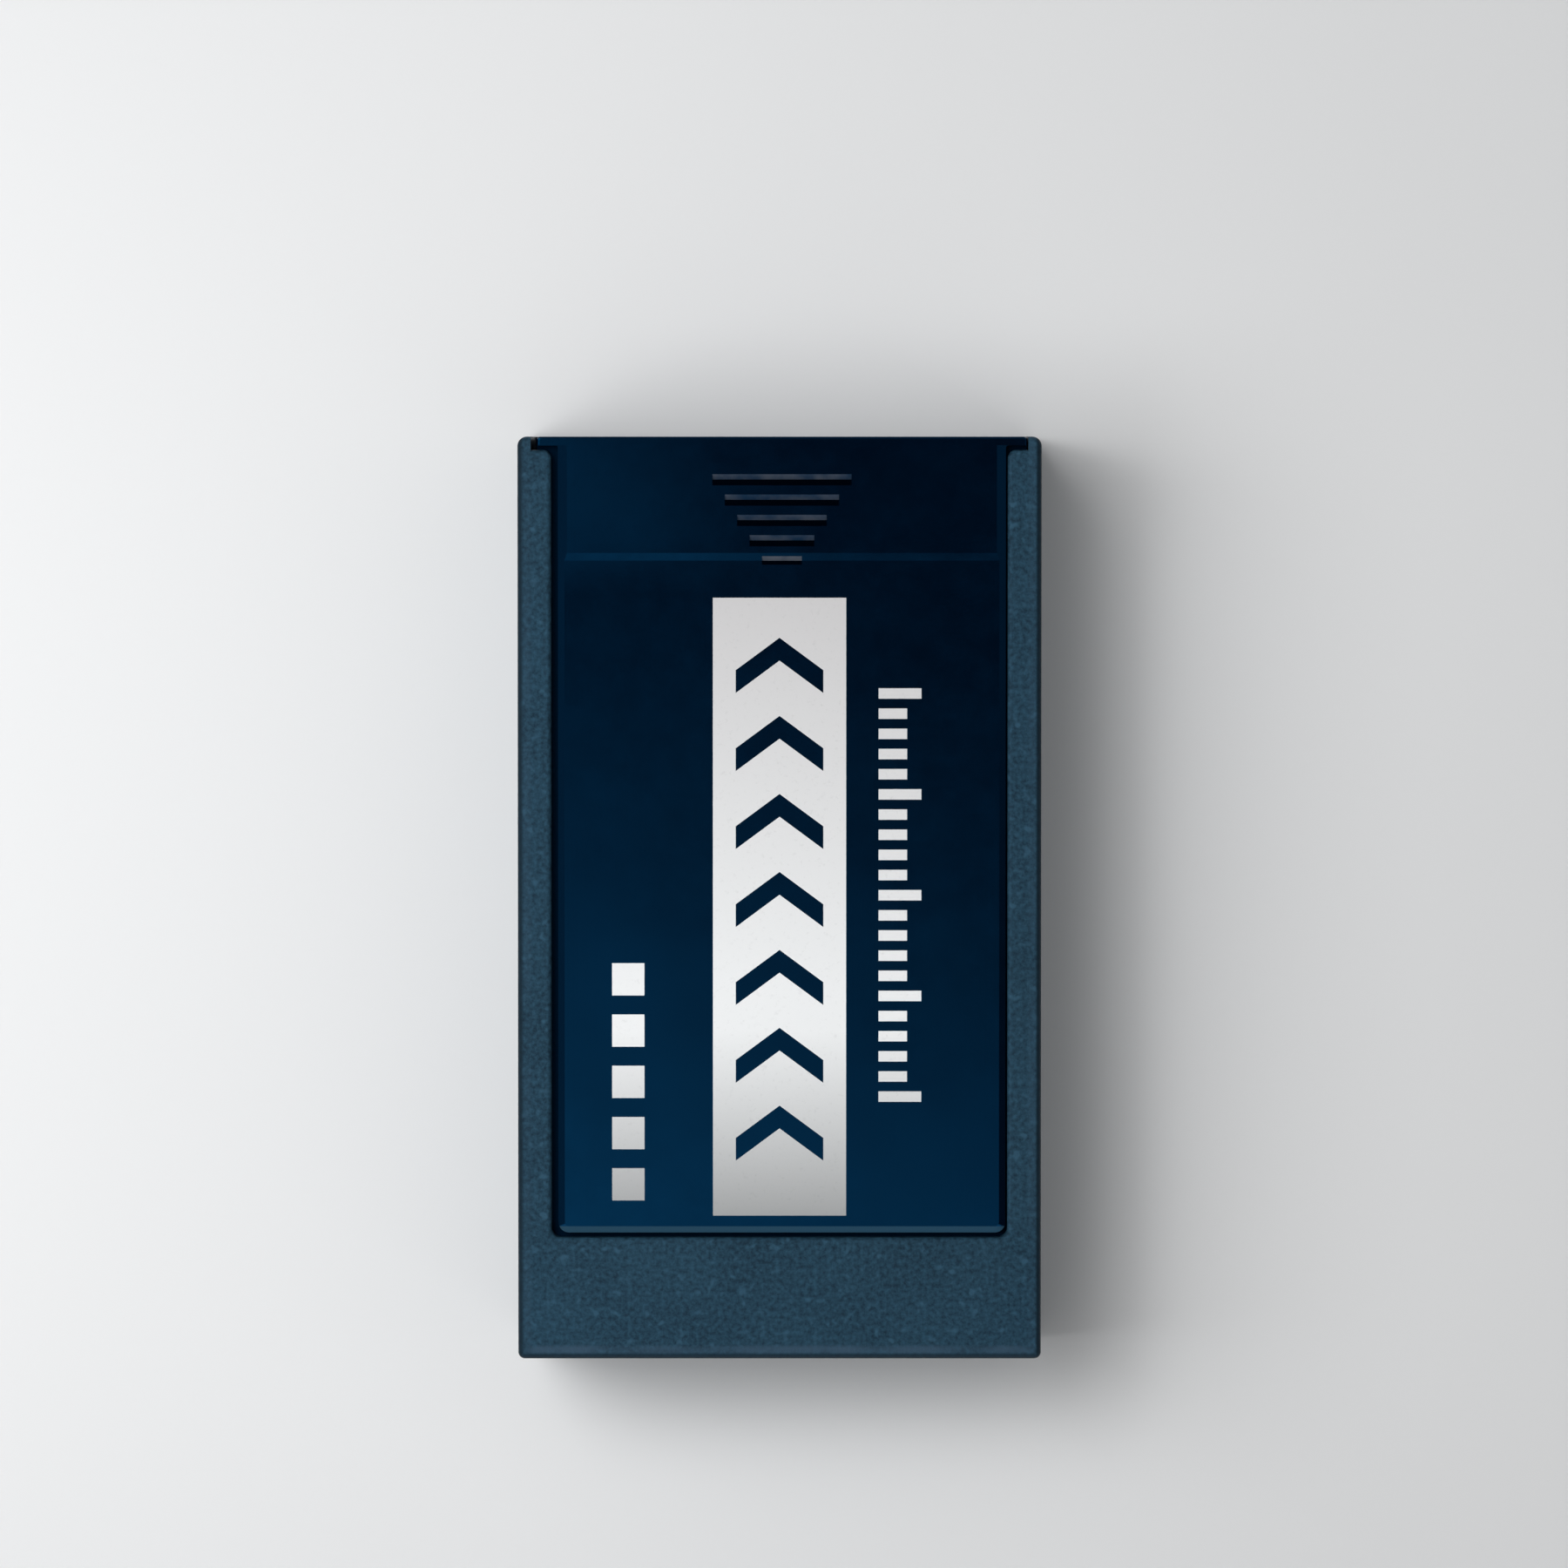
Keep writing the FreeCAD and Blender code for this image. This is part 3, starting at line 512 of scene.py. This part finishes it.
def dash(count):
    """The dash of that number, counted from the low end of the scale."""
    low_edge = -21.4 + DASH_PITCH * count
    return rectangle(10.4, low_edge, 14.9 if count % 5 == 0 else 13.4, low_edge + 1.1)


# All of these are in mm, and measured from the middle of the box.
BAR = rectangle(-7.0, -33.4, 7.0, 31.6)
TIPS = (27.4, 19.2, 11.0, 2.8, -5.4, -13.6, -21.8)
ARROWS = [arrow(tip, half_width=4.6, rise=3.4, stroke=2.4) for tip in TIPS]
SQUARES = [rectangle(-17.6, y, -14.2, y + 3.4) for y in (-31.8, -26.4, -21.0, -15.6, -10.2)]
DASHES = [dash(count) for count in range(21)]
print(len(ARROWS), "arrows,", len(SQUARES), "squares and", len(DASHES), "dashes")

# %% The film of ink
INK = 0.02  # mm thick, twice the real film, so that its edge still catches light
PRINT_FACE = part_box("sliding_lid")[1].z / MM - 0.10  # mm: the printed face lies 0.1 mm under the grip's face


def print_film(name, outlines):
    """Turns closed outlines, in mm, into a thin mesh of ink on the lid."""
    curve = bpy.data.curves.new(name, "CURVE")
    curve.dimensions, curve.fill_mode = "2D", "BOTH"
    curve.extrude = INK * MM / 2
    for outline in outlines:
        spline = curve.splines.new("POLY")
        spline.points.add(len(outline) - 1)
        for point, (x, y) in zip(spline.points, outline):
            point.co = (x * MM, y * MM, 0, 1)
        spline.use_cyclic_u = True
    drawn = bpy.data.objects.new(name, curve)
    film = into_scene(name, bpy.data.meshes.new_from_object(drawn))
    bpy.data.objects.remove(drawn)
    for vertex in film.data.vertices:
        vertex.co.z += (PRINT_FACE + INK * 0.75) * MM  # so no face of the film lies in the lid's own face
    return film


films = [
    print_film("printed_bar", [BAR] + ARROWS),
    print_film("printed_squares", SQUARES),
    print_film("printed_scale", DASHES),
]
print([(film.name, len(film.data.polygons)) for film in films])

# %% The ink itself
LOW_SHADE = (-34.0, -14.0)  # mm along the lid, from grey to white
HIGH_SHADE = (-10.0, 32.0)  # mm along the lid, from white to grey
SPECK = 0.5  # mm across, the spots where the film is thin
INK_RELIEF = 0.004  # mm

pad_ink, tree, shader, mm = start_finish("pad-printed ink, silver white", IOR=1.48, Roughness=0.42)
part = add_node(tree, "ShaderNodeSeparateXYZ", links={"Vector": mm})
low_half, high_half = [
    add_node(tree, "ShaderNodeMapRange", {"From Min": start, "From Max": end}, {"Value": part.outputs["Y"]})
    for start, end in (LOW_SHADE, HIGH_SHADE)
]
low_shade = add_node(
    tree, "ShaderNodeMix",
    {"data_type": "RGBA", "A": linear("#9c9e9f"), "B": linear("#f0f2f3")},
    {"Factor": low_half},
)
shade = add_node(
    tree, "ShaderNodeMix",
    {"data_type": "RGBA", "B": linear("#cbcacb")},
    {"Factor": high_half, "A": low_shade},
)
cover = add_node(
    tree, "ShaderNodeTexNoise", {"Scale": 1 / SPECK, "Detail": 4.0, "Roughness": 0.7}, {"Vector": mm}
)
thin_spots = add_node(
    tree, "ShaderNodeMapRange",
    {"From Min": 0.28, "From Max": 0.42, "To Min": 0.9, "To Max": 1.0},
    {"Value": cover},
)
inked = add_node(
    tree, "ShaderNodeMix",
    {"data_type": "RGBA", "blend_type": "MULTIPLY", "Factor": 1.0},
    {"A": shade, "B": thin_spots},
)
orange_peel = add_node(tree, "ShaderNodeBump", {"Distance": INK_RELIEF * MM}, {"Height": cover})
feed(shader, {"Base Color": inked, "Normal": orange_peel})
for film in films:
    film.data.materials.append(pad_ink)
    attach(film, "lid")
print(pad_ink.name, "has", len(tree.nodes), "nodes")

# %% [markdown]
# ## The magnets: sintered ferrite
#
# Each magnet is a block of strontium ferrite: powder, pressed and then fired like a tile. Two things show
# that. Its two large faces are ground flat afterwards, which leaves fine parallel lines, and its edges are
# brittle, so they have small bright-edged chips from handling.
#
# The CAD block has the right size, but its edges are perfect. A chip changes the outline of the edge, so bump
# is no help here: the block is built again. A cube gets a chamfer, is sliced into cells of half a millimetre,
# and each corner of a cell that lies near an edge moves inward where a noise is high. Points only move
# inward, so the new block never leaves the old one. It replaces the CAD block, which stays behind it for the
# physics. The cube's six faces come back from the chamfer in an order that varies, so the faces are sorted
# at the end: each run then gives the same mesh.

# %% A block with chipped edges
CHAMFER = 0.45  # mm
CELL = 0.5  # mm
CHIP = 0.55  # mm, the deepest chip
CHIP_REACH = 1.1  # mm from an edge, how far a chip runs
CHIPS_PER_MM, CRUMBS_PER_MM = 0.45, 2.1  # noise scales of the chips and of the crumbling in them
CRUMBLE = 0.25  # how much of the noise is crumbs
SOUND = 0.22  # level of the noise under which an edge stays whole
CORNER = 0.12  # how much more easily a corner breaks than an edge
STEEPNESS = 3.2  # how fast a chip gets deep as the noise rises
BRIGHTNESS = 2.5  # how fast the broken look comes in


def chipped_block(name, node, seed):
    """A block in the place of a CAD magnet. Its attribute "broken" is 1 where a chip bares the ferrite."""
    low, high = (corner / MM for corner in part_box(node))
    middle, half = (low + high) / 2, (high - low) / 2
    block = bmesh.new()
    bmesh.ops.create_cube(block, size=2.0)
    bmesh.ops.scale(block, vec=half, verts=block.verts)
    bmesh.ops.bevel(block, geom=block.edges[:], offset=CHAMFER, segments=2, profile=0.5, affect="EDGES")
    for axis in range(3):
        normal = Vector([1.0 if i == axis else 0.0 for i in range(3)])
        cells = round(2 * half[axis] / CELL)
        for step in range(1, cells):
            place = normal * (-half[axis] + 2 * half[axis] * step / cells)
            everything = block.verts[:] + block.edges[:] + block.faces[:]
            bmesh.ops.bisect_plane(block, geom=everything, plane_co=place, plane_no=normal)
    broken = block.verts.layers.float.new("broken")
    for vertex in block.verts:
        depths = [h - abs(c) for c, h in zip(vertex.co, half)]
        inward = Vector([-math.copysign(1, c) if d < CHIP_REACH else 0.0 for c, d in zip(vertex.co, depths)])
        near_faces = sum(map(abs, inward))
        if near_faces < 2:
            continue
        away = sorted(depths)[1] / CHIP_REACH
        chip = noise.noise(vertex.co * CHIPS_PER_MM + Vector((seed, 0, 0))) - SOUND
        chip += CORNER * (near_faces == 3)
        chip += CRUMBLE * noise.noise(vertex.co * CRUMBS_PER_MM)
        depth = max(0.0, chip) * STEEPNESS * (1 - away) ** 2
        vertex[broken] = min(1.0, depth * BRIGHTNESS)
        vertex.co += inward.normalized() * min(depth, 1.0) * CHIP
    for vertex in block.verts:
        vertex.co = (vertex.co + middle) * MM
    block.verts.index_update()
    in_order = sorted(block.faces, key=lambda face: [corner.index for corner in face.verts])
    ranks = {face: rank for rank, face in enumerate(in_order)}
    block.faces.sort(key=ranks.get)
    return as_piece(name, block)


magnets = {
    "lower_magnet": chipped_block("lower_magnet_chipped", "lower_magnet", seed=3.7),
    "upper_magnet": chipped_block("upper_magnet_chipped", "upper_magnet", seed=41.2),
}
print({name: len(block.data.polygons) for name, block in magnets.items()})

# %% The ferrite, and its relief
GRINDING = 0.16  # mm from line to line
GRINDING_LENGTH = 12  # mm
GRINDING_DEPTH = 0.004  # mm
POWDER = 0.3  # mm across, the clumps of the pressed powder
FLAT = 0.98  # how squarely a face has to look up or down to be one of the two ground ones

ferrite, tree, shader, mm = start_finish("strontium ferrite, sintered and ground", IOR=2.0, Roughness=0.55)
lie = add_node(tree, "ShaderNodeNewGeometry")
facing = add_node(tree, "ShaderNodeSeparateXYZ", links={"Vector": lie.outputs["True Normal"]})
flatness = add_node(tree, "ShaderNodeMath", {"operation": "ABSOLUTE"}, {0: facing.outputs["Z"]})
ground = add_node(tree, "ShaderNodeMath", {"operation": "GREATER_THAN", 1: FLAT}, {0: flatness})
lines_per_mm = (1 / GRINDING_LENGTH, 1 / GRINDING, 1.0)
stretch = add_node(tree, "ShaderNodeVectorMath", {"operation": "MULTIPLY", 1: lines_per_mm}, {0: mm})
lines = add_node(
    tree, "ShaderNodeTexNoise", {"Scale": 1.0, "Detail": 3.0, "Roughness": 0.7}, {"Vector": stretch}
)
powder = add_node(
    tree, "ShaderNodeTexNoise", {"Scale": 1 / POWDER, "Detail": 4.0, "Roughness": 0.75}, {"Vector": mm}
)
texture = add_node(tree, "ShaderNodeMix", {"data_type": "FLOAT"}, {"Factor": ground, "A": powder, "B": lines})
surface = add_node(tree, "ShaderNodeBump", {"Distance": GRINDING_DEPTH * MM}, {"Height": texture})
feed(shader, {"Normal": surface})
print("grinding lines per mm:", round(1 / GRINDING, 2))

# %% The colour of the ferrite
tones = add_node(tree, "ShaderNodeMapRange", {"From Min": 0.3, "From Max": 0.7}, {"Value": texture})
fired = add_node(
    tree, "ShaderNodeMix",
    {"data_type": "RGBA", "A": linear("#2b2a2c"), "B": linear("#403f42")},
    {"Factor": tones},
)
chips = add_node(tree, "ShaderNodeAttribute", {"attribute_name": "broken"}).outputs["Fac"]
with_chips = add_node(
    tree, "ShaderNodeMix", {"data_type": "RGBA", "B": linear("#5a5655")}, {"Factor": chips, "A": fired}
)
rough = add_node(tree, "ShaderNodeMapRange", {"To Min": 0.55, "To Max": 0.8}, {"Value": chips})
feed(shader, {"Base Color": with_chips, "Roughness": rough})
for node, block in magnets.items():
    block.data.materials.append(ferrite)
    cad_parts[node].data.materials[0] = ferrite
    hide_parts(node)
    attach(block, "box")
print(ferrite.name, "has", len(tree.nodes), "nodes")

# %% [markdown]
# ## The glue: cured hot-melt
#
# A film of hot-melt adhesive holds each magnet to the roof of its pocket. The film itself is hidden, but when
# the magnet is pressed in, some glue is squeezed up the gap around it and sets there, uneven and a little
# sunk between the two walls. That bead is what shows on the back. It is a ring that follows the gap: at each
# step a small cross-section, whose surface sags between its two edges, and whose height wanders with a noise.

# %% The path of the bead around each magnet
GAP = 0.35  # mm between magnet and pocket


def gap_path(half_x, half_y, step=0.6):
    """Points around a rectangle, in mm, with the way outward at each."""
    points = []
    for ax, ay, bx, by, out in (
        (-1, -1, 1, -1, (0, -1)), (1, -1, 1, 1, (1, 0)), (1, 1, -1, 1, (0, 1)), (-1, 1, -1, -1, (-1, 0)),
    ):
        a, b = Vector((ax * half_x, ay * half_y)), Vector((bx * half_x, by * half_y))
        steps = round((b - a).length / step)
        points.append((a, Vector((math.copysign(1, a.x), math.copysign(1, a.y)))))
        points += [(a.lerp(b, i / steps), Vector(out)) for i in range(1, steps)]
    return points


print("points around a block of 48 by 22 mm:", len(gap_path(24.0, 11.0)))

# %% The bead itself
BEAD_DEPTH = 1.3  # mm from the magnet's face to the glue, on average
DRIFT, LUMP = 0.8, 0.2  # mm that the depth wanders slowly and quickly
DRIFT_PER_MM, LUMP_PER_MM = 0.23, 1.3  # noise scales of the two
SAG = 0.12  # mm that the surface rises at the magnet and sinks in the middle of the gap
SHALLOWEST = 0.45  # mm: the glue never comes nearer to the magnet's face
ROOT = 3.5  # mm from the magnet's face, where the bead ends inside the gap
OVERLAP = -0.3  # mm: it starts inside the magnet, so that no slit shows


def glue_bead(name, node, seed):
    """A ring of glue in the gap around a CAD magnet."""
    low, high = (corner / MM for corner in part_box(node))
    middle, half = (low + high) / 2, (high - low) / 2
    bead = bmesh.new()
    rings = []
    for point, out in gap_path(half.x, half.y):
        at = Vector((point.x, point.y, seed))
        height = BEAD_DEPTH + DRIFT * noise.noise(at * DRIFT_PER_MM) + LUMP * noise.noise(at * LUMP_PER_MM)
        section = [  # out from the magnet's side and up from its face, in mm
            (OVERLAP, height - 0.25), (0.02, height - SAG), (0.5 * GAP, height + SAG), (GAP, height - 0.1),
            (GAP, ROOT), (OVERLAP, ROOT),
        ]
        ring = []
        for far, up in section:
            x, y = middle.x + point.x + out.x * far, middle.y + point.y + out.y * far
            ring.append(bead.verts.new((x * MM, y * MM, (low.z + max(up, SHALLOWEST)) * MM)))
        rings.append(ring)
    for ring, following in zip(rings, rings[1:] + rings[:1]):
        for i in range(len(ring)):
            j = (i + 1) % len(ring)
            bead.faces.new((ring[i], following[i], following[j], ring[j]))
    for face in bead.faces:
        face.smooth = True
    bmesh.ops.recalc_face_normals(bead, faces=bead.faces)
    return as_piece(name, bead)


beads = [
    glue_bead("lower_glue_bead", "lower_magnet", seed=5.0),
    glue_bead("upper_glue_bead", "upper_magnet", seed=19.0),
]
print([(bead.name, len(bead.data.polygons)) for bead in beads])

# %% The finish of the glue
MILK = 1.5  # mm across, the milky clouds in the glue
SKIN_RELIEF = 0.02  # mm

hot_melt, tree, shader, mm = start_finish(
    "hot-melt adhesive, cured, amber",
    IOR=1.49, Roughness=0.3, Subsurface_Weight=0.35, Subsurface_Scale=1.0 * MM,
)
milk = add_node(tree, "ShaderNodeTexNoise", {"Scale": 1 / MILK, "Detail": 3.0}, {"Vector": mm})
amber = add_node(
    tree, "ShaderNodeMix",
    {"data_type": "RGBA", "A": linear("#b59a63"), "B": linear("#dccb9d")},
    {"Factor": milk},
)
skin = add_node(tree, "ShaderNodeBump", {"Distance": SKIN_RELIEF * MM}, {"Height": milk})
feed(shader, {"Base Color": amber, "Normal": skin})
for bead in beads:
    bead.data.materials.append(hot_melt)
    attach(bead, "box")
for node in ("lower_magnet_glue", "upper_magnet_glue"):
    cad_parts[node].data.materials[0] = hot_melt
print(hot_melt.name, "has", len(tree.nodes), "nodes")

# %% [markdown]
# ## The marks of the mould
#
# A moulding is pushed out of its mould by steel pins, and each pin leaves a round witness on the side that is
# not meant to be looked at: a low pad, with a fine ring of flash where plastic crept in beside the pin. The
# box has them on its floor and platforms, the lid on its underside. The plastic came in through one gate, in
# the middle of the box's back, where it leaves a small broken nub.
#
# Each is a profile turned around an axis, as on a lathe: a list of radii and heights, joined ring by ring.
# They are no more than 0.1 to 0.2 mm high, but they are real geometry, so they catch light from every side.

# %% Turned marks
PIN_PAD = [(0.0, 0.04), (1.75, 0.04), (1.86, 0.10), (1.95, 0.10), (2.02, 0.0)]  # radius and height, mm
GATE_NUB = [  # radius and height, mm
    (0.0, 0.15), (0.35, 0.20), (0.62, 0.11), (0.75, 0.10), (0.95, 0.02),
    (2.3, 0.02), (2.42, 0.06), (2.55, 0.0),
]
TURNS = 48  # steps around a mark
CREST = 0.09  # mm: what stands higher than this was broken off, and is ragged


def turned_marks(name, profile, places, up, ragged=0.0):
    """One mesh with a turned mark at each (x, y, z) in mm. up is 1 on a face that looks up, -1 if down."""
    marks = bmesh.new()
    for x, y, z in places:
        rings = []
        for radius, height in profile:
            ring = []
            for k in range(TURNS if radius else 1):
                turn = 2 * math.pi * k / TURNS
                at = Vector((radius * math.cos(turn), radius * math.sin(turn), 0))
                rough = ragged * noise.noise(at * 4 + Vector((x, y, z))) if height > CREST else 0.0
                corner = (x + at.x) * MM, (y + at.y) * MM, (z + up * (height + rough)) * MM
                ring.append(marks.verts.new(corner))
            rings.append(ring)
        for ring, wider in zip(rings, rings[1:]):
            for k in range(TURNS):
                corners = [ring[k % len(ring)], wider[k], wider[(k + 1) % TURNS], ring[(k + 1) % len(ring)]]
                marks.faces.new(list(dict.fromkeys(corners)))
    bmesh.ops.recalc_face_normals(marks, faces=marks.faces)
    if marks.faces[0].normal.z * up < 0:
        bmesh.ops.reverse_faces(marks, faces=marks.faces)
    return as_piece(name, marks)


print("a pin's pad is", 2 * PIN_PAD[-1][0], "mm across, the gate's", 2 * GATE_NUB[-1][0])

# %% The marks in their places
FLOOR, PLATFORM, LID_ROOF, BACK = 1.9, 6.8, 20.4, 0.3  # mm up
floor_pins = [(x, y, FLOOR) for x in (-20, 20) for y in (-15, 13)]
platform_pins = [(x, y, PLATFORM) for x in (-17, 17) for y in (-34.5, 33)]
lid_pins = [(x, y, LID_ROOF) for x in (-16, 16) for y in (-29, 0, 30)]
lid_pins += [(0, -20, LID_ROOF), (0, 22, LID_ROOF)]
box_marks = turned_marks("box_pin_marks", PIN_PAD, floor_pins + platform_pins, up=1)
lid_marks = turned_marks("lid_pin_marks", PIN_PAD, lid_pins, up=-1)
gate_mark = turned_marks("gate_mark", GATE_NUB, [(0, -0.8, BACK)], up=-1, ragged=0.1)
for marks, material, slot, body in (
    (box_marks, eroded_abs, "textured_plastic", "box"),
    (gate_mark, eroded_abs, "textured_plastic", "box"),
    (lid_marks, polished_abs, "polished_plastic", "lid"),
):
    marks.data.materials.append(material)
    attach(marks, body)
print([(marks.name, len(marks.data.polygons)) for marks in (box_marks, lid_marks, gate_mark)])

# %% [markdown]
# ## The studio
#
# A glossy dark object is lit by what it mirrors, so the studio comes before the lamps. Looked at from
# straight above, the lid mirrors only the small patch of ceiling around the camera. That patch is dark, and a
# pale panel begins just beside it, towards the closed end of the box, so the lid shades from nearly black at
# its open end to a soft blue at the other. A narrow pale strip beyond the panel shows in the slope of the
# lid's step, and one on the other side shows in the slopes that look towards the open end. All of it is
# painted into the world: a ramp over how far a ray leans, towards the closed end and a little to the left.
#
# One softbox from the upper left gives the object its shape and its shadow. A second one, near the left side,
# fills the dark side of the grain, and because it is near, its light falls off across the object. It doesn't
# show in gloss. A low card beyond the closed end only shows in gloss: it lights the bevels that look that
# way. Together they give a white sheet a brightness of about 1, so a colour renders about as it is written.
# The floor is plain pale paper.

# %% The floor
floor_mesh = bpy.data.meshes.new("studio_floor")
floor_mesh.from_pydata([(x, y, 0) for x, y in ((-3, -3), (3, -3), (3, 3), (-3, 3))], [], [(0, 1, 2, 3)])
floor = into_scene("studio_floor", floor_mesh)
paper, _, shader, _ = start_finish("paper, uncoated, pale", IOR=1.5, Roughness=0.9, Specular_IOR_Level=0.1)
shader.inputs["Base Color"].default_value = linear("#e8e9ea")
floor_mesh.materials.append(paper)
print("the floor is", floor.dimensions.x, "m wide")

# %% The ceiling
CEILING = [  # lean of the ray, and share of the brightest
    (-1.1, 0.02), (-0.95, 0.3), (-0.5, 0.5), (-0.37, 0.03), (-0.02, 0.03), (0.022, 0.035), (0.040, 0.20),
    (0.056, 0.30), (0.075, 0.62), (0.095, 0.95), (0.11, 1.0), (0.165, 1.0), (0.19, 0.03), (0.245, 0.03),
    (0.268, 0.8), (0.285, 0.95), (0.31, 0.27), (1.3, 0.2),
]
SPAN = 1.6  # the ramp runs from a lean of -SPAN to one of SPAN
TOWARDS = (-0.50, -0.93, 0.0)  # the way that counts as lean
LOWEST = 0.05  # the least height of a ray that the lean is worked out for
BRIGHTEST = 1.3  # strength of the brightest part of the ceiling

world = bpy.data.worlds.new("studio")
world.use_nodes = True
bpy.context.scene.world = world
tree = world.node_tree
glow = tree.nodes["Background"]
ray = add_node(tree, "ShaderNodeTexCoord").outputs["Generated"]
sight = add_node(tree, "ShaderNodeSeparateXYZ", links={"Vector": ray})
leaning = add_node(tree, "ShaderNodeVectorMath", {"operation": "DOT_PRODUCT", 1: TOWARDS}, {0: ray})
height = add_node(tree, "ShaderNodeMath", {"operation": "MAXIMUM", 1: LOWEST}, {0: sight.outputs["Z"]})
beside = add_node(tree, "ShaderNodeMath", {"operation": "DIVIDE"}, {0: leaning, 1: height})
span = add_node(tree, "ShaderNodeMapRange", {"From Min": -SPAN, "From Max": SPAN}, {"Value": beside})
ceiling = add_node(tree, "ShaderNodeValToRGB", links={"Fac": span})
stops = ceiling.color_ramp.elements
for place, strength in CEILING:
    stop = stops.new((place + SPAN) / (2 * SPAN))
    stop.color = (strength, strength, strength, 1.0)
stops.remove(stops[0])
stops.remove(stops[-1])
print("the ramp has", len(stops), "stops")

# %% The walls, and what the camera sees
WALL_FROM, WALL_FULL, WALL = 0.5, 0.12, 0.55  # height of the ray where the wall starts and is full; strength
SIDE_FROM, SIDE_FULL, SIDE_WALL = 0.35, 0.62, 0.1  # the same for the left wall, by how far the ray goes left
BACKDROP = 0.86  # strength that the camera sees behind the floor

wall = add_node(
    tree, "ShaderNodeMapRange",
    {"interpolation_type": "SMOOTHSTEP", "From Min": WALL_FROM, "From Max": WALL_FULL, "To Max": WALL},
    {"Value": sight.outputs["Z"]},
)
sideways = add_node(tree, "ShaderNodeMath", {"operation": "MULTIPLY", 1: -1.0}, {0: sight.outputs["X"]})
side_wall = add_node(
    tree, "ShaderNodeMapRange",
    {"interpolation_type": "SMOOTHSTEP", "From Min": SIDE_FROM, "From Max": SIDE_FULL, "To Max": SIDE_WALL},
    {"Value": sideways},
)
walls = add_node(tree, "ShaderNodeMath", {"operation": "MAXIMUM"}, {0: wall, 1: side_wall})
lit_ceiling = add_node(tree, "ShaderNodeMath", {"operation": "MULTIPLY", 1: BRIGHTEST}, {0: ceiling})
room = add_node(tree, "ShaderNodeMath", {"operation": "MAXIMUM"}, {0: lit_ceiling, 1: walls})
camera_ray = add_node(tree, "ShaderNodeLightPath").outputs["Is Camera Ray"]
seen = add_node(
    tree, "ShaderNodeMix", {"data_type": "FLOAT", "B": BACKDROP}, {"Factor": camera_ray, "A": room}
)
feed(glow, {"Strength": seen})
glow.inputs["Color"].default_value = (1.0, 1.0, 1.0, 1.0)
print("the world has", len(tree.nodes), "nodes")

# %% The lamps
def softbox(name, toward, distance, size, power):
    """A rectangular lamp that stands toward one side and looks at the object. In metres and watts."""
    lamp = bpy.data.lights.new(name, "AREA")
    lamp.shape, lamp.size, lamp.size_y = "RECTANGLE", size[0], size[1]
    lamp.energy = power
    stand = into_scene(name, lamp)
    stand.location = Vector(toward).normalized() * distance
    stand.rotation_euler = (-stand.location).to_track_quat("-Z", "Y").to_euler()
    return stand


key = softbox("key_softbox", (-0.34, 0.27, 0.90), distance=1.0, size=(0.45, 0.45), power=3.3)
fill = softbox("near_fill", (-0.62, 0.05, 0.78), distance=0.30, size=(0.20, 0.20), power=0.43)
fill.visible_glossy = False
card = softbox("low_card", (-0.10, -0.83, 0.55), distance=0.5, size=(0.9, 0.5), power=1.6)
card.visible_diffuse = False
print([(lamp.name, [round(c, 2) for c in lamp.location]) for lamp in (key, fill, card)])

# %% [markdown]
# ## The camera
#
# The box is looked at from straight above with a long lens, so its rails stay parallel and none of its sides
# show. 200 mm on a 36 mm sensor takes in 164.5 mm at the height of the lid from 0.91 m away. The camera hangs
# over the box's open end, so that it looks straight down the gap around the lid's flange, and leans two
# degrees to bring the whole box into the frame. That is too little to make its sides run together.

# %% The camera
LENS, SENSOR, FIELD = 200.0, 36.0, 164.5  # mm; FIELD is what the frame takes in at the lid's face
LID_FACE = 22.0  # mm up
OVER = (0.47, 47.0)  # mm, the place that the camera hangs over
AIM = 12.05  # mm along the lid, where the camera looks

camera = bpy.data.cameras.new("camera")
camera.lens, camera.sensor_width, camera.sensor_fit = LENS, SENSOR, "HORIZONTAL"
camera.clip_start, camera.clip_end = 0.01, 20.0
viewpoint = into_scene("camera", camera)
above = FIELD * LENS / SENSOR
viewpoint.location = (OVER[0] * MM, OVER[1] * MM, (LID_FACE + above) * MM)
viewpoint.rotation_euler.x = math.atan2(AIM - OVER[1], above)
bpy.context.scene.camera = viewpoint
bpy.context.scene.view_settings.view_transform = "Standard"
print("camera at", [round(c, 4) for c in viewpoint.location], "m")
